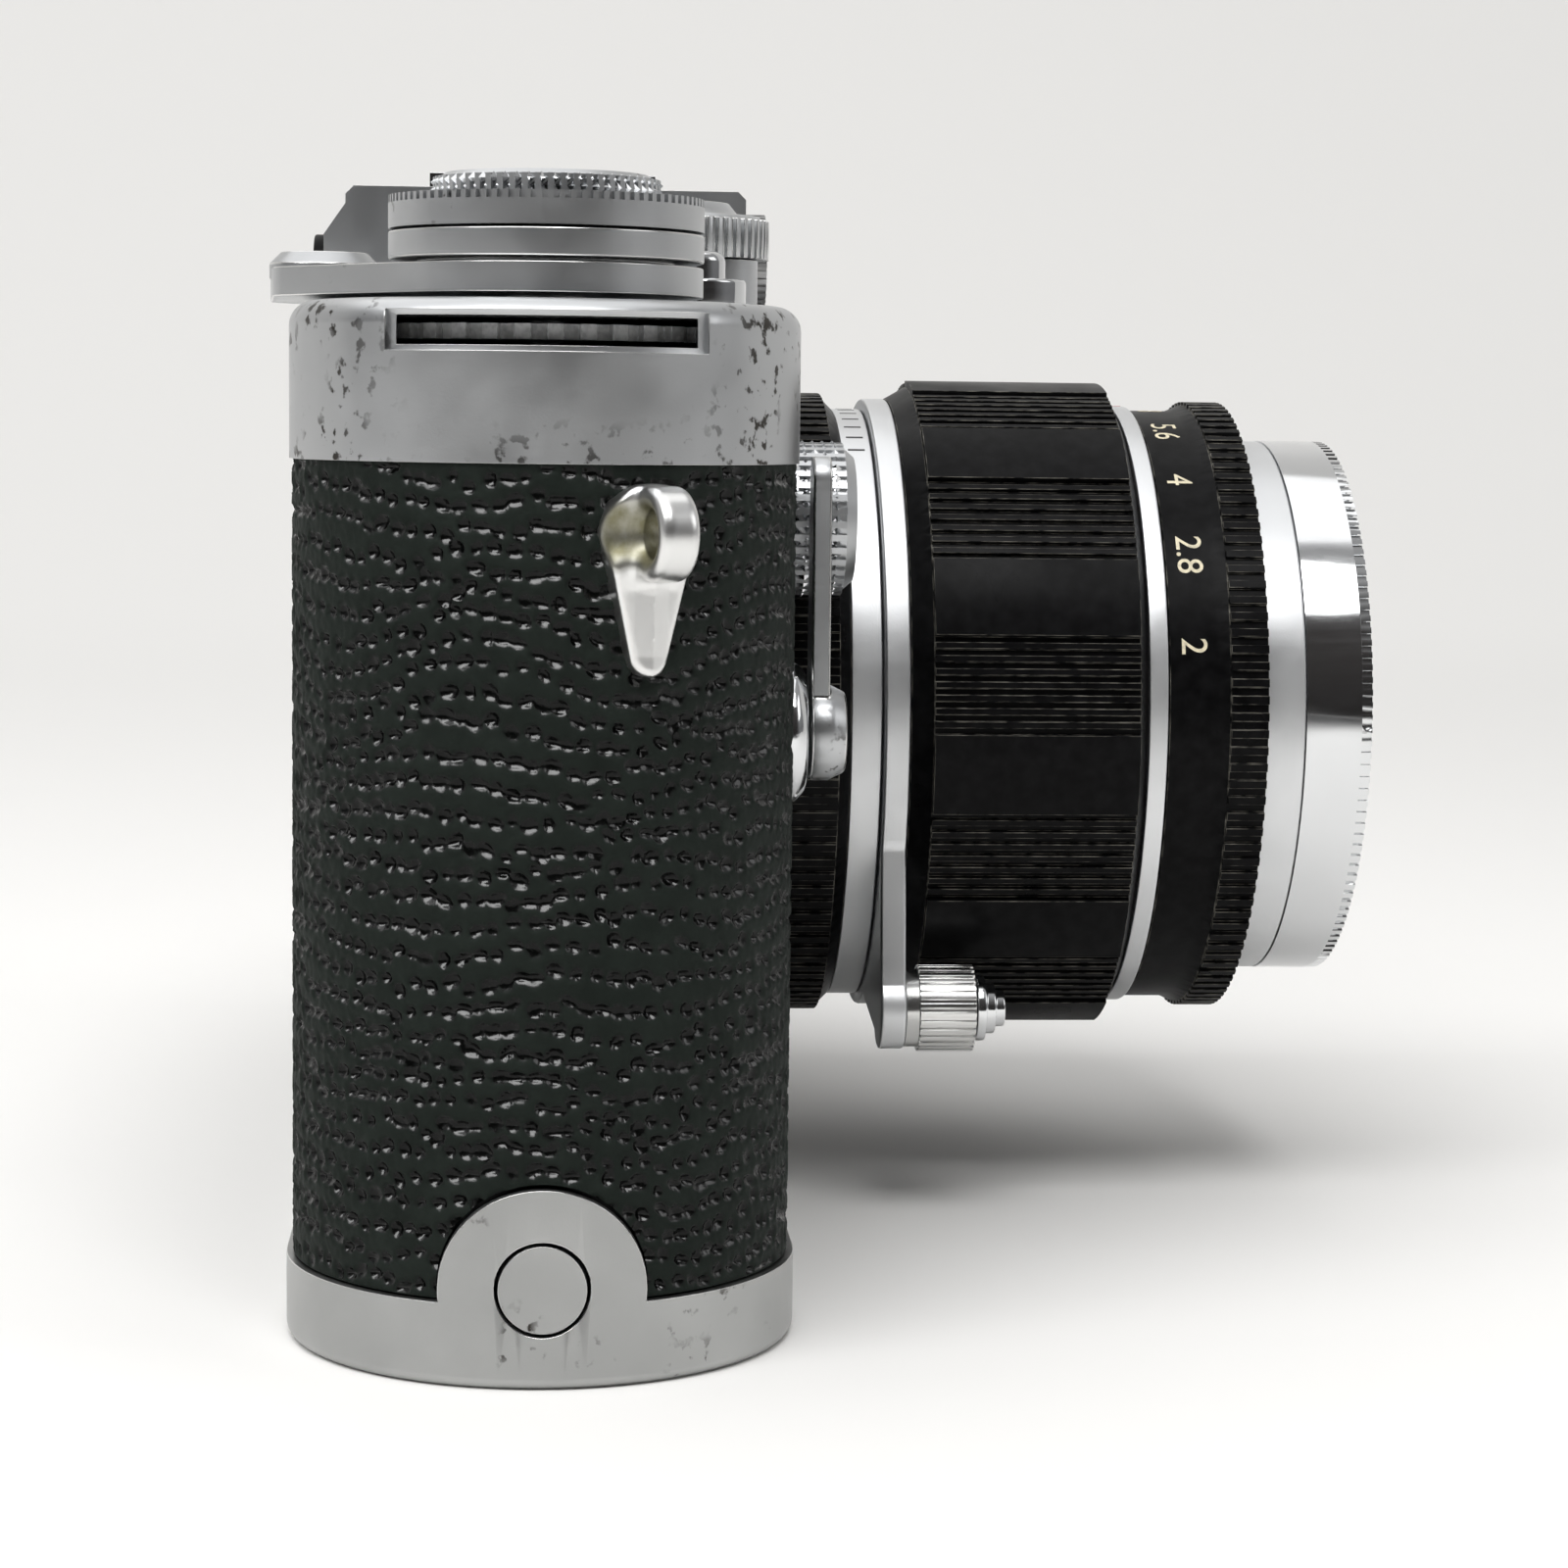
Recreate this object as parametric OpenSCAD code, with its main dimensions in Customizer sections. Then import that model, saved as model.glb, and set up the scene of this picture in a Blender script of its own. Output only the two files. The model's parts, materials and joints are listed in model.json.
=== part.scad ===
// Bottom-loading 35 mm rangefinder camera with a lever wind and a screw-in 50 mm lens.
// Frame: +X towards the rewind end, -Y towards the lens, +Z up.
// The origin lies under the lens axis, mid-depth, on the surface that the base plate rests on.

/* [Body] */
// Width of the top cover over its two round ends
body_w = 138; // [130:0.5:150]
// Half the depth of the top cover, and so the radius of its round ends
cover_r = 16.43; // [16:0.01:18]
// How far the leather lies inside the top cover's face
leather_step = 0.11; // [0.05:0.01:0.3]
// Thickness of the leather cover
leather_t = 0.9; // [0.6:0.05:1.2]
// Wall of the cast body shell
shell_wall = 1.4; // [1.1:0.05:1.6]
// Height of the shell's lower edge above the surface
shell_z = 2.2; // [1.8:0.1:2.8]
// Thickness of the deck that closes the shell at the top
deck_t = 1.6; // [1.2:0.1:2]
// How far the shell reaches up into the top cover
spigot_h = 3.2; // [2.8:0.1:3.6]
// Gap between the shell's upper end and the top cover
spigot_gap = 0.1; // [0.06:0.01:0.2]
// Radius of the hole behind the lens mount
throat_r = 20; // [19.6:0.1:20.4]
// Distance of the cover's front and back screws from the lens axis
cover_screw_x = 46; // [44:0.5:48]
// Room behind the film for the pressure plate and its springs
film_room = 2.72; // [2.5:0.01:3]
// How far the mount ring stands out of the shell, at the least
mount_proud = 2.08; // [1.9:0.01:2.3]

/* [Top cover] */
// Height of the top cover's lower edge
cover_z = 57; // [54:0.1:60]
// Height of the cover's low end
cover_h = 10; // [9.6:0.1:11]
// Wall of the pressed cover
cover_wall = 1; // [0.8:0.05:1.1]
// Thickness of the cover's flat top
cover_top_t = 1.1; // [0.9:0.05:1.2]
// Radius of the rounded upper edge
cover_round = 1.6; // [0.8:0.1:2.4]
// Width of the frame counter's slot
slot_w = 18.3; // [14:0.1:20]
// Height of the frame counter's slot
slot_h = 1.8; // [1.6:0.05:2]
// Width of the bevel around the slot
slot_bevel = 0.7; // [0.3:0.05:0.9]
// Where the dial step begins
step_x = -33.5; // [-34:0.1:-32]
// Height of the dial step above the cover's top
step_h = 3.9; // [3:0.1:4.5]
// How far the housing's front lies inside the cover's face
housing_setback = 1.43; // [1.2:0.01:1.9]
// Back of the dial step
step_back = 9.2; // [6:0.1:9.4]
// Corner radius of the dial step
step_corner = 2.5; // [1:0.1:4]

/* [Finder housing] */
// End of the housing next to the speed dial
housing_x0 = -17; // [-18:0.1:-16.5]
// End of the housing next to the rewind knob
housing_x1 = 33; // [32:0.1:38]
// Height of the housing above the cover's top
housing_h = 9.6; // [9:0.1:11]
// How far the back of the housing lies inside the cover's face
heel_setback = 0.23; // [0.1:0.01:0.6]
// How far the sloped face leans in towards the housing's top
slope_run = 1.6; // [1.2:0.1:2]
// Drop from the housing's top to the sloped face
slope_drop = 1.3; // [0.8:0.1:2]
// Height of the sloped face
slope_h = 2.3; // [1.5:0.1:2.6]
// Bevel along the housing's upper edges
housing_bevel = 0.6; // [0.3:0.1:1]
// Wall of the housing
housing_wall = 1.2; // [1:0.05:1.4]
// Thickness of the housing's roof, with the shoe's pocket in it
housing_roof = 2.4; // [2.2:0.1:2.8]
// Distance of the near rangefinder window from the lens axis
near_window_x = -12; // [-12.4:0.1:-11.5]
// Distance of the far rangefinder window from the lens axis
far_window_x = 27; // [25:0.1:28]
// Distance of the viewfinder window from the lens axis
finder_x = 8; // [6:0.1:10]
// Height of the front windows above the cover's top
window_rise = 4.4; // [4.3:0.1:4.6]
// Outer radius of a rangefinder window's bezel
bezel_r = 3.8; // [3.4:0.1:4]
// Radius of the rangefinder window's glass
bezel_glass_r = 2.6; // [2:0.1:2.8]
// How far a bezel stands proud of the housing
bezel_proud = 1.7; // [1:0.1:2]
// Number of ribs around a bezel
bezel_ribs = 40; // [30:1:48]
// Width of the viewfinder window's frame
finder_frame_w = 13; // [11:0.1:14]
// Height of the viewfinder window's frame
finder_frame_h = 7.6; // [6.5:0.1:8]
// Rim of the viewfinder window's frame
finder_rim = 1.1; // [0.8:0.1:1.5]
// How far the viewfinder frame stands proud of the housing
finder_proud = 0.8; // [0.4:0.1:1.2]
// Outer radius of an eyepiece rim
eyepiece_r = 2.9; // [2.6:0.1:3.1]
// Radius of the eyepiece glass
eyepiece_glass_r = 1.9; // [1.6:0.1:2.1]
// Height of the eyepieces above the cover's top
eyepiece_rise = 3.3; // [3.2:0.1:3.4]
// How far an eyepiece rim stands proud of the housing
eyepiece_proud = 0.9; // [0.5:0.1:1.2]
// Thickness of every pane and eyepiece glass
pane_t = 1; // [0.8:0.1:1.1]
// Thickness of the plate that carries the rangefinder
finder_plate_t = 1; // [0.8:0.1:1.2]
// Radius of that plate's posts
finder_post_r = 2; // [1.6:0.1:2.4]
// Distance of the posts from the ends of the housing
finder_post_inset = 6; // [5:0.1:7]
// Height of the beam splitter and of the prism
optics_h = 6.5; // [5.5:0.1:6.6]
// Width of the beam splitter and of the prism
optics_w = 7; // [6:0.1:7.4]
// Thickness of the beam splitter
splitter_t = 1; // [0.6:0.1:1.2]
// Depth of the prism along the finder
prism_l = 6; // [5:0.1:6.5]

/* [Accessory shoe] */
// Inside width between the shoe's rails
shoe_w = 18.6; // [18.5:0.05:18.8]
// Length of the shoe from front to back
shoe_l = 17.6; // [16:0.1:19]
// Thickness of the shoe's sheet metal
shoe_t = 0.6; // [0.5:0.05:0.8]
// Clear height under the shoe's lips
shoe_gap = 2; // [1.9:0.05:2.2]
// Width of each lip
shoe_lip = 3.2; // [2.5:0.1:3.5]
// Depth of the pocket that the shoe sits in
shoe_pocket = 1.2; // [1:0.1:1.4]

/* [Base plate] */
// Wall of the base plate's rim
base_wall = 0.85; // [0.7:0.01:1.1]
// Height of the base plate's rim
base_h = 5.35; // [5:0.05:6]
// Gap between the rim and the shell
base_gap = 0.4; // [0.35:0.01:0.5]
// Thickness of the base plate's floor
base_floor = 1.2; // [1:0.05:1.4]
// Radius of the base plate's lower edge
base_round = 0.8; // [0.4:0.1:1]
// Radius of the round tab at the wind end
tab_r = 6.5; // [5.5:0.1:7]
// Height of the tab's centre
tab_z = 6.1; // [5.8:0.1:6.6]
// Gap between the leather and the tab
tab_gap = 0.3; // [0.25:0.01:0.4]
// Radius of the stud that holds the tab
stud_r = 2.75; // [2:0.05:3]
// Gap between the stud and the tab's hole
stud_gap = 0.25; // [0.22:0.01:0.3]
// Height of the stud's centre
stud_z = 6.35; // [6:0.05:6.6]
// Radius of the tripod thread, a quarter inch across
tripod_r = 3.175; // [3.1:0.005:3.2]
// Outer radius of the tripod bush
bush_r = 5.4; // [5:0.1:6]
// Height of the tripod bush
bush_h = 6; // [5:0.1:7]
// How far the tripod bush's flange stands out, and its height in the plate
bush_flange = 2; // [1.5:0.1:2.5]
// Distance of the tripod bush from the lens axis
bush_x = -38; // [-42:0.5:-34]
// Radius of the lock key's disc
key_r = 8.5; // [7:0.1:9]
// Distance of the lock key from the lens axis
key_x = 43; // [38:0.5:46]
// Half the length of the lock key's cam bar
cam_reach = 11.5; // [10.5:0.1:12]
// Depth of the finger pockets in the lock key
key_pocket = 0.6; // [0.4:0.05:0.7]
// Width of the finger bar across the lock key
finger_bar = 2; // [1.6:0.1:3]
// Rim around the finger pockets
key_rim = 1.7; // [1.2:0.1:2.4]
// How far the lock key's lip reaches under the base plate's floor
key_lip = 1; // [0.8:0.1:1.4]
// Width of the cam bar
cam_w = 4; // [3:0.1:5]
// Thickness of the cam bar
cam_t = 1.6; // [1.2:0.1:1.8]

/* [Strap lugs] */
// How far the lugs sit in front of mid-depth
lug_y = -6; // [-8:0.1:-4]
// Height of the lug's eye
lug_z = 52.9; // [50:0.1:53]
// Radius of the lug's round head
lug_r = 2.95; // [2.6:0.05:3.3]
// Distance from the eye down to the lug's tip
lug_drop = 7.5; // [6:0.1:9]
// Radius of the lug's tip
lug_tip_r = 1.25; // [0.8:0.05:1.6]
// Thickness of the lug's plate at its middle
lug_t = 1; // [0.8:0.05:1.4]
// Radius of the hole for the strap ring
lug_hole_r = 1.5; // [1.2:0.05:1.7]
// Height of the eye's hole above the lug's plate
lug_lift = 0.3; // [0.2:0.05:0.5]
// Width of the lug's eye
lug_eye_w = 2.5; // [2:0.05:3]

/* [Wind lever] */
// Radius of the lever's hub
hub_r = 10.1; // [9:0.1:11]
// Gap between the top cover and the lever
lever_gap = 0.5; // [0.4:0.05:0.7]
// Thickness of the lever's plate
lever_t = 1.9; // [1.5:0.1:2.2]
// Radius of the lever's bend and tip
lever_tip_r = 4.1; // [3.5:0.1:4.4]
// How far the lever's bend lies behind the hub
lever_bend_y = 13.9; // [12.5:0.1:14.5]
// How far the lever's bend lies towards the finder
lever_bend_x = 7.6; // [6:0.1:9]
// How far the lever's tip lies behind the hub
lever_tip_y = 14.9; // [13.5:0.1:15.5]
// How far the lever's tip lies towards the finder
lever_tip_x = 20; // [17:0.1:21]
// Thickness of the thumb pad
pad_t = 1.25; // [1:0.05:1.5]
// Length of the thumb pad between its round ends
pad_l = 7; // [4:0.1:9]
// How far the thumb pad lies inside the lever's edge
pad_inset = 0.4; // [0.2:0.05:0.6]
// Radius of the wind shaft
shaft_r = 2.5; // [2:0.05:2.8]
// Radius of the hub cap and of the reminder dial
cap_r = 10.14; // [9:0.02:11]
// Gap between the lever and the hub cap
cap_gap = 0.3; // [0.2:0.05:0.4]
// Thickness of the hub cap
cap_t = 1.8; // [1.4:0.1:2.2]
// Thickness of the reminder dial
dial_t = 2.1; // [1.6:0.1:2.6]
// Number of teeth around the reminder dial's top edge
reminder_teeth = 90; // [70:1:110]
// Radius of the post that the reminder dial turns on
post_r = 4; // [3.4:0.1:4.6]
// Radius of the knurled knob on top
knob_r = 7.3; // [6.5:0.1:8]
// Thickness of the knurled knob on top
knob_t = 1.35; // [1:0.05:1.8]
// Number of ribs on the knurled knob
knob_ribs = 56; // [44:1:70]
// Radius of the frame counter's wheel
counter_r = 13; // [11:0.1:13.4]
// Thickness of the frame counter's wheel
counter_t = 1; // [0.8:0.05:1.2]
// Number of teeth on the frame counter's wheel
counter_teeth = 40; // [36:1:44]

/* [Top controls] */
// Distance of the speed dial from the lens axis
speed_x = -27.5; // [-28:0.1:-26.8]
// How far the speed dial lies in front of mid-depth
speed_y = -8; // [-8.3:0.1:-6]
// Radius of the speed dial
speed_r = 8; // [7:0.1:8.4]
// Height of the speed dial's ribbed rim
speed_h = 3.05; // [2.5:0.05:3.5]
// Height of the dome on the speed dial
speed_dome_h = 0.95; // [0.6:0.05:1.2]
// Width of the shoulder around the dome
speed_shoulder = 2.1; // [1.5:0.1:2.6]
// Number of ribs on the speed dial
speed_ribs = 60; // [40:1:72]
// Distance of the release from the lens axis
release_x = -40.5; // [-41.5:0.1:-40]
// How far the release lies in front of mid-depth
release_y = -10.2; // [-10.8:0.1:-9.6]
// Radius of the release button
release_r = 2; // [1.7:0.05:2.2]
// Outer radius of the release collar
collar_r = 3.4; // [3:0.05:3.6]
// Height of the release collar
collar_h = 2.2; // [1.8:0.1:2.6]
// How far the button stands above the collar
button_proud = 1.9; // [1.8:0.1:2.4]
// Travel of the release button
button_travel = 1.5; // [1:0.1:1.6]
// Distance of the rewind catch from the lens axis
catch_x = -38.6; // [-38.8:0.1:-38.2]
// How far the rewind catch lies behind mid-depth
catch_y = 3.5; // [2.8:0.1:4]
// Radius of the rewind catch's pivot disc
catch_r = 1.7; // [1.4:0.05:1.8]
// Length of the rewind catch's pointer
catch_l = 5; // [4:0.1:5.2]
// Thickness of the rewind catch's pointer
catch_t = 1.2; // [1:0.1:1.5]
// Width of the pointer at its pivot
catch_w = 2; // [1.6:0.1:2.4]
// Radius of the rewind knob
rewind_r = 9.4; // [8:0.1:10]
// Height of the rewind knob
rewind_h = 8.2; // [6:0.1:9]
// Number of ribs on the rewind knob
rewind_ribs = 56; // [40:1:64]
// Height of the rewind fork's lower end above the lens axis
fork_rise = 4; // [3:0.1:6]
// Width of the rewind fork
fork_w = 6; // [5:0.1:6.5]
// Thickness of the rewind fork
fork_t = 1.2; // [1:0.1:1.6]
// Height of the rewind fork
fork_h = 4; // [3:0.1:5]

/* [Front controls] */
// Distance of the self-timer from the lens axis
timer_x = -35.5; // [-37:0.1:-35]
// Height of the self-timer's pivot
timer_z = 38; // [36:0.1:40]
// Radius of the self-timer's escutcheon
timer_plate_r = 5.1; // [4.5:0.1:5.5]
// How far the escutcheon stands proud of the leather
timer_proud = 2.08; // [1.5:0.01:2.3]
// Length of the self-timer lever to its round tip
timer_arm_l = 17.6; // [14:0.1:18.5]
// Half the width of the lever at its tip
timer_tip_r = 1.7; // [1.4:0.05:1.9]
// Radius of the self-timer's hub
timer_hub_r = 3.4; // [2.8:0.1:3.8]
// Thickness of the self-timer lever
timer_t = 1.3; // [1:0.05:1.6]
// Height of the cap on the self-timer's hub
timer_cap_t = 1.2; // [0.8:0.05:1.4]
// Distance of the slow-speed dial from the lens axis
slow_x = -27; // [-28:0.1:-26.8]
// Height of the slow-speed dial
slow_z = 52.7; // [52:0.1:53.5]
// Radius of the slow-speed dial
slow_r = 5.5; // [5:0.1:5.7]
// How far the slow-speed dial stands proud of the top cover's face
slow_proud = 5.87; // [4.6:0.01:6.1]
// Number of ribs on the slow-speed dial
slow_ribs = 36; // [28:1:44]

/* [Lens] */
// Height of the lens axis
lens_z = 37.33; // [36:0.01:38]
// Distance from the lens mount's face to the film
register = 28.8; // [28.5:0.05:29]
// Radius of the screw mount, 39 mm across
thread_r = 19.5; // [19.3:0.05:19.6]
// Width of the mount ring's face around the screw mount
mount_rim = 4.7; // [4.4:0.1:4.9]
// How far the ribbed base ring stands out from the screw mount
base_ring_rim = 5.1; // [4.7:0.05:5.5]
// Length of the ribbed base ring
base_ring_l = 5.3; // [4.5:0.1:5.6]
// Wall of the satin scale ring around the lens base's sleeve
scale_ring_wall = 3.05; // [2.7:0.05:3.6]
// Length of the satin scale ring
scale_ring_l = 2.3; // [2:0.1:3]
// Wall of the infinity lock's plate around the sleeve
lock_ring_wall = 3.84; // [3.4:0.01:4]
// Thickness of that plate
lock_ring_t = 1.9; // [1.5:0.1:2.2]
// Wall of the focus ring under its smooth panels
focus_wall = 4.69; // [4.2:0.01:5]
// Length of the focus ring
focus_l = 17.6; // [16:0.1:19]
// Length of the focus ring's rear cone
focus_rear = 1.6; // [1:0.1:2]
// Length of the focus ring's front bevel
focus_bevel = 0.7; // [0.4:0.1:1]
// Number of smooth panels around the focus ring
panel_count = 12; // [10:1:14]
// Angle that one smooth panel covers
panel_angle = 13.5; // [10:0.5:15]
// Turn of the first panel from the horizontal
panel_phase = 7.6; // [0:0.1:29]
// Number of fine ribs between two panels
rib_count = 7; // [5:1:8]
// Depth of the fine ribs
rib_depth = 0.35; // [0.2:0.05:0.5]
// How far the ribs lie below the panels
rib_drop = 0.2; // [0.1:0.05:0.4]
// Wall of the bright index ring
index_wall = 2.93; // [2.4:0.01:3.4]
// Length of the bright index ring
index_l = 1.45; // [1.2:0.05:2]
// Wall of the aperture ring under its number band
band_wall = 2.55; // [2.1:0.01:3]
// Length of the aperture ring's number band
band_l = 3.4; // [3:0.1:4]
// How far the aperture ring's ribbed grip stands out from the number band
grip_rise = 0.74; // [0.5:0.01:1.2]
// Length of the aperture ring's ribbed grip
grip_l = 2.85; // [2.4:0.05:3.4]
// Length of the slope between band and grip
grip_slope = 1.1; // [0.8:0.1:1.4]
// Number of ribs on the aperture ring and on the base ring
fine_ribs = 120; // [90:1:150]
// How far the satin front ring stands out from the barrel
front_rise = 0.28; // [0.2:0.02:0.6]
// Length of the satin front ring
front_l = 3.3; // [3:0.1:4]
// Wall of the front ring around its thread, which is 40.5 mm across
front_wall = 0.95; // [0.85:0.05:1.1]
// Wall of the filter ring outside the front thread
filter_wall = 1; // [0.9:0.05:1.4]
// Length of the filter ring
filter_l = 5; // [4.4:0.1:5.6]
// Width of the filter ring's rim from the front thread to the glass
filter_rim = 1.65; // [1.3:0.05:2.2]
// How far the filter glass lies behind the ring's front
filter_recess = 1.3; // [1.1:0.1:1.6]
// Length of the filter ring's thread
filter_thread_l = 2.2; // [1.8:0.1:2.3]
// Number of notches in that knurl
filter_notches = 140; // [110:1:160]
// Thickness of the filter glass
filter_glass_t = 1.7; // [1.4:0.1:2]
// Radius of the lens barrel in the focus ring
barrel_r = 20.92; // [20.8:0.02:20.96]
// Wall of the barrel around the iris
barrel_wall = 2.42; // [2.2:0.01:2.6]
// Wall of the screw mount's tail around the barrel's rear guide
tail_wall = 2.6; // [2.5:0.05:2.9]
// How far that tail reaches behind the lens mount's face
tail_l = 3.2; // [2.8:0.1:3.6]
// Wall of the sleeve that carries the scale ring and the lock's plate
sleeve_wall = 3.44; // [3.2:0.01:3.7]
// Radius of the front lens group
front_glass_r = 14; // [13:0.1:14.5]
// Radius of the rear lens group
rear_glass_r = 12; // [11:0.1:12.4]
// Radius of curvature of the front lens
front_curve_r = 32; // [28:0.5:40]
// Radius of curvature of the rear lens
rear_curve_r = 24; // [20:0.5:30]

/* [Infinity lock] */
// Angle of the lock knob, seen from the front
lock_angle = 225; // [220:0.5:235]
// Distance of the lock knob's axis from the focus ring's panels
lock_offset = 4.5; // [4.3:0.01:5]
// Radius of the lock knob's ribbed drum
lock_knob_r = 3.25; // [3.1:0.05:3.4]
// Length of the lock knob with its neck
lock_knob_l = 5.2; // [4.6:0.1:5.6]
// Length of the lock knob's neck
lock_neck = 1; // [0.8:0.1:1.4]
// Height of one step of the stepped plunger
plunger_step = 0.75; // [0.6:0.05:0.9]
// Travel of the plunger
plunger_travel = 1.3; // [1:0.1:1.4]
// Number of ribs on the lock knob
lock_ribs = 30; // [24:1:36]
// How far the neck lies inside the knob's ribs
lock_neck_inset = 0.35; // [0.3:0.05:0.6]

/* [Iris] */
// Width of a blade between its inner and its outer edge
blade_w = 6; // [5.8:0.1:6.4]
// Gap between the blades and the barrel's wall around them
blade_room = 0.9; // [0.8:0.05:1.2]
// Radius of the eye at a blade's pivot
blade_eye_r = 1; // [0.8:0.1:1.2]
// Thickness of a blade
blade_t = 0.25; // [0.15:0.01:0.3]
// Distance between two blades along the axis
blade_pitch = 0.6; // [0.55:0.01:0.62]
// Angle that a blade covers
blade_angle = 130; // [110:1:135]
// How far the blades are closed at rest
blade_rest = 23.5; // [20:0.5:25]

/* [Inside] */
// Half the width of the shutter crate
crate_x = 30; // [28:0.1:30]
// Front of the shutter crate
crate_front = 8.5; // [8:0.1:8.8]
// How far the shutter crate reaches below the lens axis
crate_drop = 30; // [28:0.5:31]
// Wall of the shutter crate
crate_wall = 1.2; // [1:0.1:1.5]
// Width of the film gate
gate_w = 36; // [35:0.1:37]
// Height of the film gate
gate_h = 24; // [23:0.1:25]
// Height of the film rails behind the crate's back wall
rail_h = 1.7; // [1.5:0.1:2]
// Width of a film rail
rail_w = 1.6; // [1.2:0.1:2]
// Radius of the curtain drum
drum_r = 3.8; // [3.4:0.1:4]
// Distance of the curtain drum from the lens axis
drum_x = -24.5; // [-24.6:0.1:-24]
// Distance of the curtain drum's axis from the film gate
drum_room = 6.4; // [6.2:0.1:6.8]
// Thickness of the shutter cloth
cloth_t = 0.3; // [0.2:0.05:0.4]
// Height of the shutter cloth
cloth_h = 30; // [27:0.5:32]
// Radius of the spring rollers
roller_r = 2.6; // [2.2:0.1:2.8]
// Thickness of the pressure plate
plate_t = 0.7; // [0.6:0.05:0.8]
// Width of the pressure plate
plate_w = 56; // [50:0.5:58]
// Height of the pressure plate
plate_h = 34; // [32:0.5:36]
// Room for the film between rails and pressure plate
film_gap = 0.2; // [0.15:0.05:0.3]
// Half the length of a leaf spring behind the pressure plate
spring_l = 20; // [16:0.5:24]
// Width of a leaf spring
spring_w = 3; // [2:0.5:4]
// Radius of the take-up spool's core
spool_r = 5.5; // [5:0.1:6]
// Radius of the take-up spool's flanges
spool_flange_r = 10.5; // [9:0.1:11]
// Width of the film, which the spool takes up
film_w = 35; // [34.9:0.05:35.1]
// Distance of the sprocket from the lens axis
sprocket_x = -37.5; // [-38:0.1:-37]
// How far the sprocket lies behind mid-depth
sprocket_y = 5.5; // [5:0.1:6]
// Radius of the sprocket over its teeth
sprocket_r = 5.9; // [5.6:0.1:6.2]
// Number of teeth on each of the sprocket's wheels
sprocket_teeth = 8; // [7:1:9]
// Distance of the rangefinder arm's pivot from the lens axis
arm_x = 17; // [16.6:0.1:17.4]
// Radius of the rangefinder arm's roller
arm_roller_r = 2; // [1.7:0.05:2.1]
// Height of the rangefinder arm above the lens axis
arm_rise = 12.2; // [11.6:0.1:12.6]
// Width of the rangefinder arm
arm_w = 2.6; // [2.4:0.1:3]

/* [Fasteners and fits] */
// Radius of a small screw's head
screw_head_r = 1.4; // [1.2:0.05:1.5]
// Height of a small screw's head
screw_head_h = 0.5; // [0.4:0.02:0.55]
// Radius of a small screw's shank
screw_r = 0.85; // [0.7:0.05:0.95]
// Length of a small screw's shank
screw_l = 2.3; // [2:0.1:2.4]
// How far the lens mount's screws reach into the shell
screw_bite = 0.72; // [0.5:0.01:1]
// Width of a small screw's slot
screw_slot = 0.4; // [0.3:0.05:0.5]
// Radial clearance of a shaft that turns or slides in a bore
running_gap = 0.06; // [0.03:0.01:0.09]
// Radius of the small shafts and pins
pin_r = 1.2; // [1:0.05:1.3]
// Gap between pieces that are seated or screwed together
seat_gap = 0.02; // [0.01:0.005:0.04]
// Gap between rings that turn face to face
face_gap = 0.15; // [0.1:0.01:0.2]
// Gap between a turning piece and the cover or leather under it
air_gap = 0.4; // [0.3:0.05:0.45]

/* [Hidden] */

// Small bevels, insets, ribs and margins
button_bevel = 0.4;
button_taper = 0.5;
release_reach = 2;
dial_rib = 0.4;
dial_bevel = 0.3;
dome_taper = 0.8;
tooth_h = 0.5;
tooth_depth = 0.35;
cap_inset = 2;
knob_bevel = 0.3;
knob_bevel_w = 0.45;
counter_tooth = 0.7;
pad_sink = 0.6;
pad_round = 0.8;
rewind_foot = 1.2;
rewind_bevel = 0.8;
rewind_inset = 1;
bezel_rib = 0.25;
timer_bevel = 0.8;
timer_bevel_w = 0.9;
timer_flare = 0.6;
timer_cap_taper = 0.6;
shaft_reach = 1;
slow_rib = 0.3;
slow_foot = 0.8;
slow_foot_inset = 0.6;
slow_taper = 1;
fine_rib = 0.3;
base_ring_bevel = 0.9;
lock_rib = 0.25;
lock_wall = 0.8;
ear_inset = 0.2;
ear_spread = 24;
plunger_taper = 0.22;
filter_lip = 0.6;
filter_notch = 0.2;
filter_knurl_l = 0.8;
pin_sink = 0.2;
flange_t = 1;
spool_margin = 1.5;
shaft_margin = 3;
sprocket_tooth = 1.2;
sprocket_drum_inset = 1.3;
sprocket_tooth_w = 1.4;
perforation_inset = 2.8;
sprocket_margin = 1;
roller_gap = 0.52;
cloth_margin = 2;
front_web = 0.8;
front_sink = 0.6;
rear_sink = 1;
arm_t = 1;
arm_roller_h = 2.4;
catch_hub_t = 1.8;
catch_tip_w = 1.4;
rail_offset = 1.5;
spring_foot = 3;
spring_t = 0.3;
key_lip_t = 0.6;
shoe_screw_x = 5.58;
shoe_screw_y = 5.632;
guide_proud = 0.7;
rear_step = 1;

$fn = 96;
cut = 0.5;
cut_in = 0.03;

// Body levels and radii
end_x = body_w / 2 - cover_r;
housing_front = cover_r - housing_setback;
housing_heel = cover_r - heel_setback;
housing_back = housing_heel - slope_run;
leather_r = cover_r - leather_step;
shell_r = leather_r - leather_t;
inner_r = shell_r - shell_wall;
base_r = shell_r + base_gap + base_wall;
spigot_r = cover_r - cover_wall - spigot_gap;
deck_z = cover_z + spigot_h;
deck_under = deck_z - deck_t;
top_z = cover_z + cover_h;
ceiling_z = top_z - cover_top_t;
step_z = top_z + step_h;
housing_z = top_z + housing_h;
window_z = top_z + window_rise;
eyepiece_z = top_z + eyepiece_rise;
pocket_z = housing_z - shoe_pocket;
pin_top = deck_z - pin_sink;
hub_x = -end_x;

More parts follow.
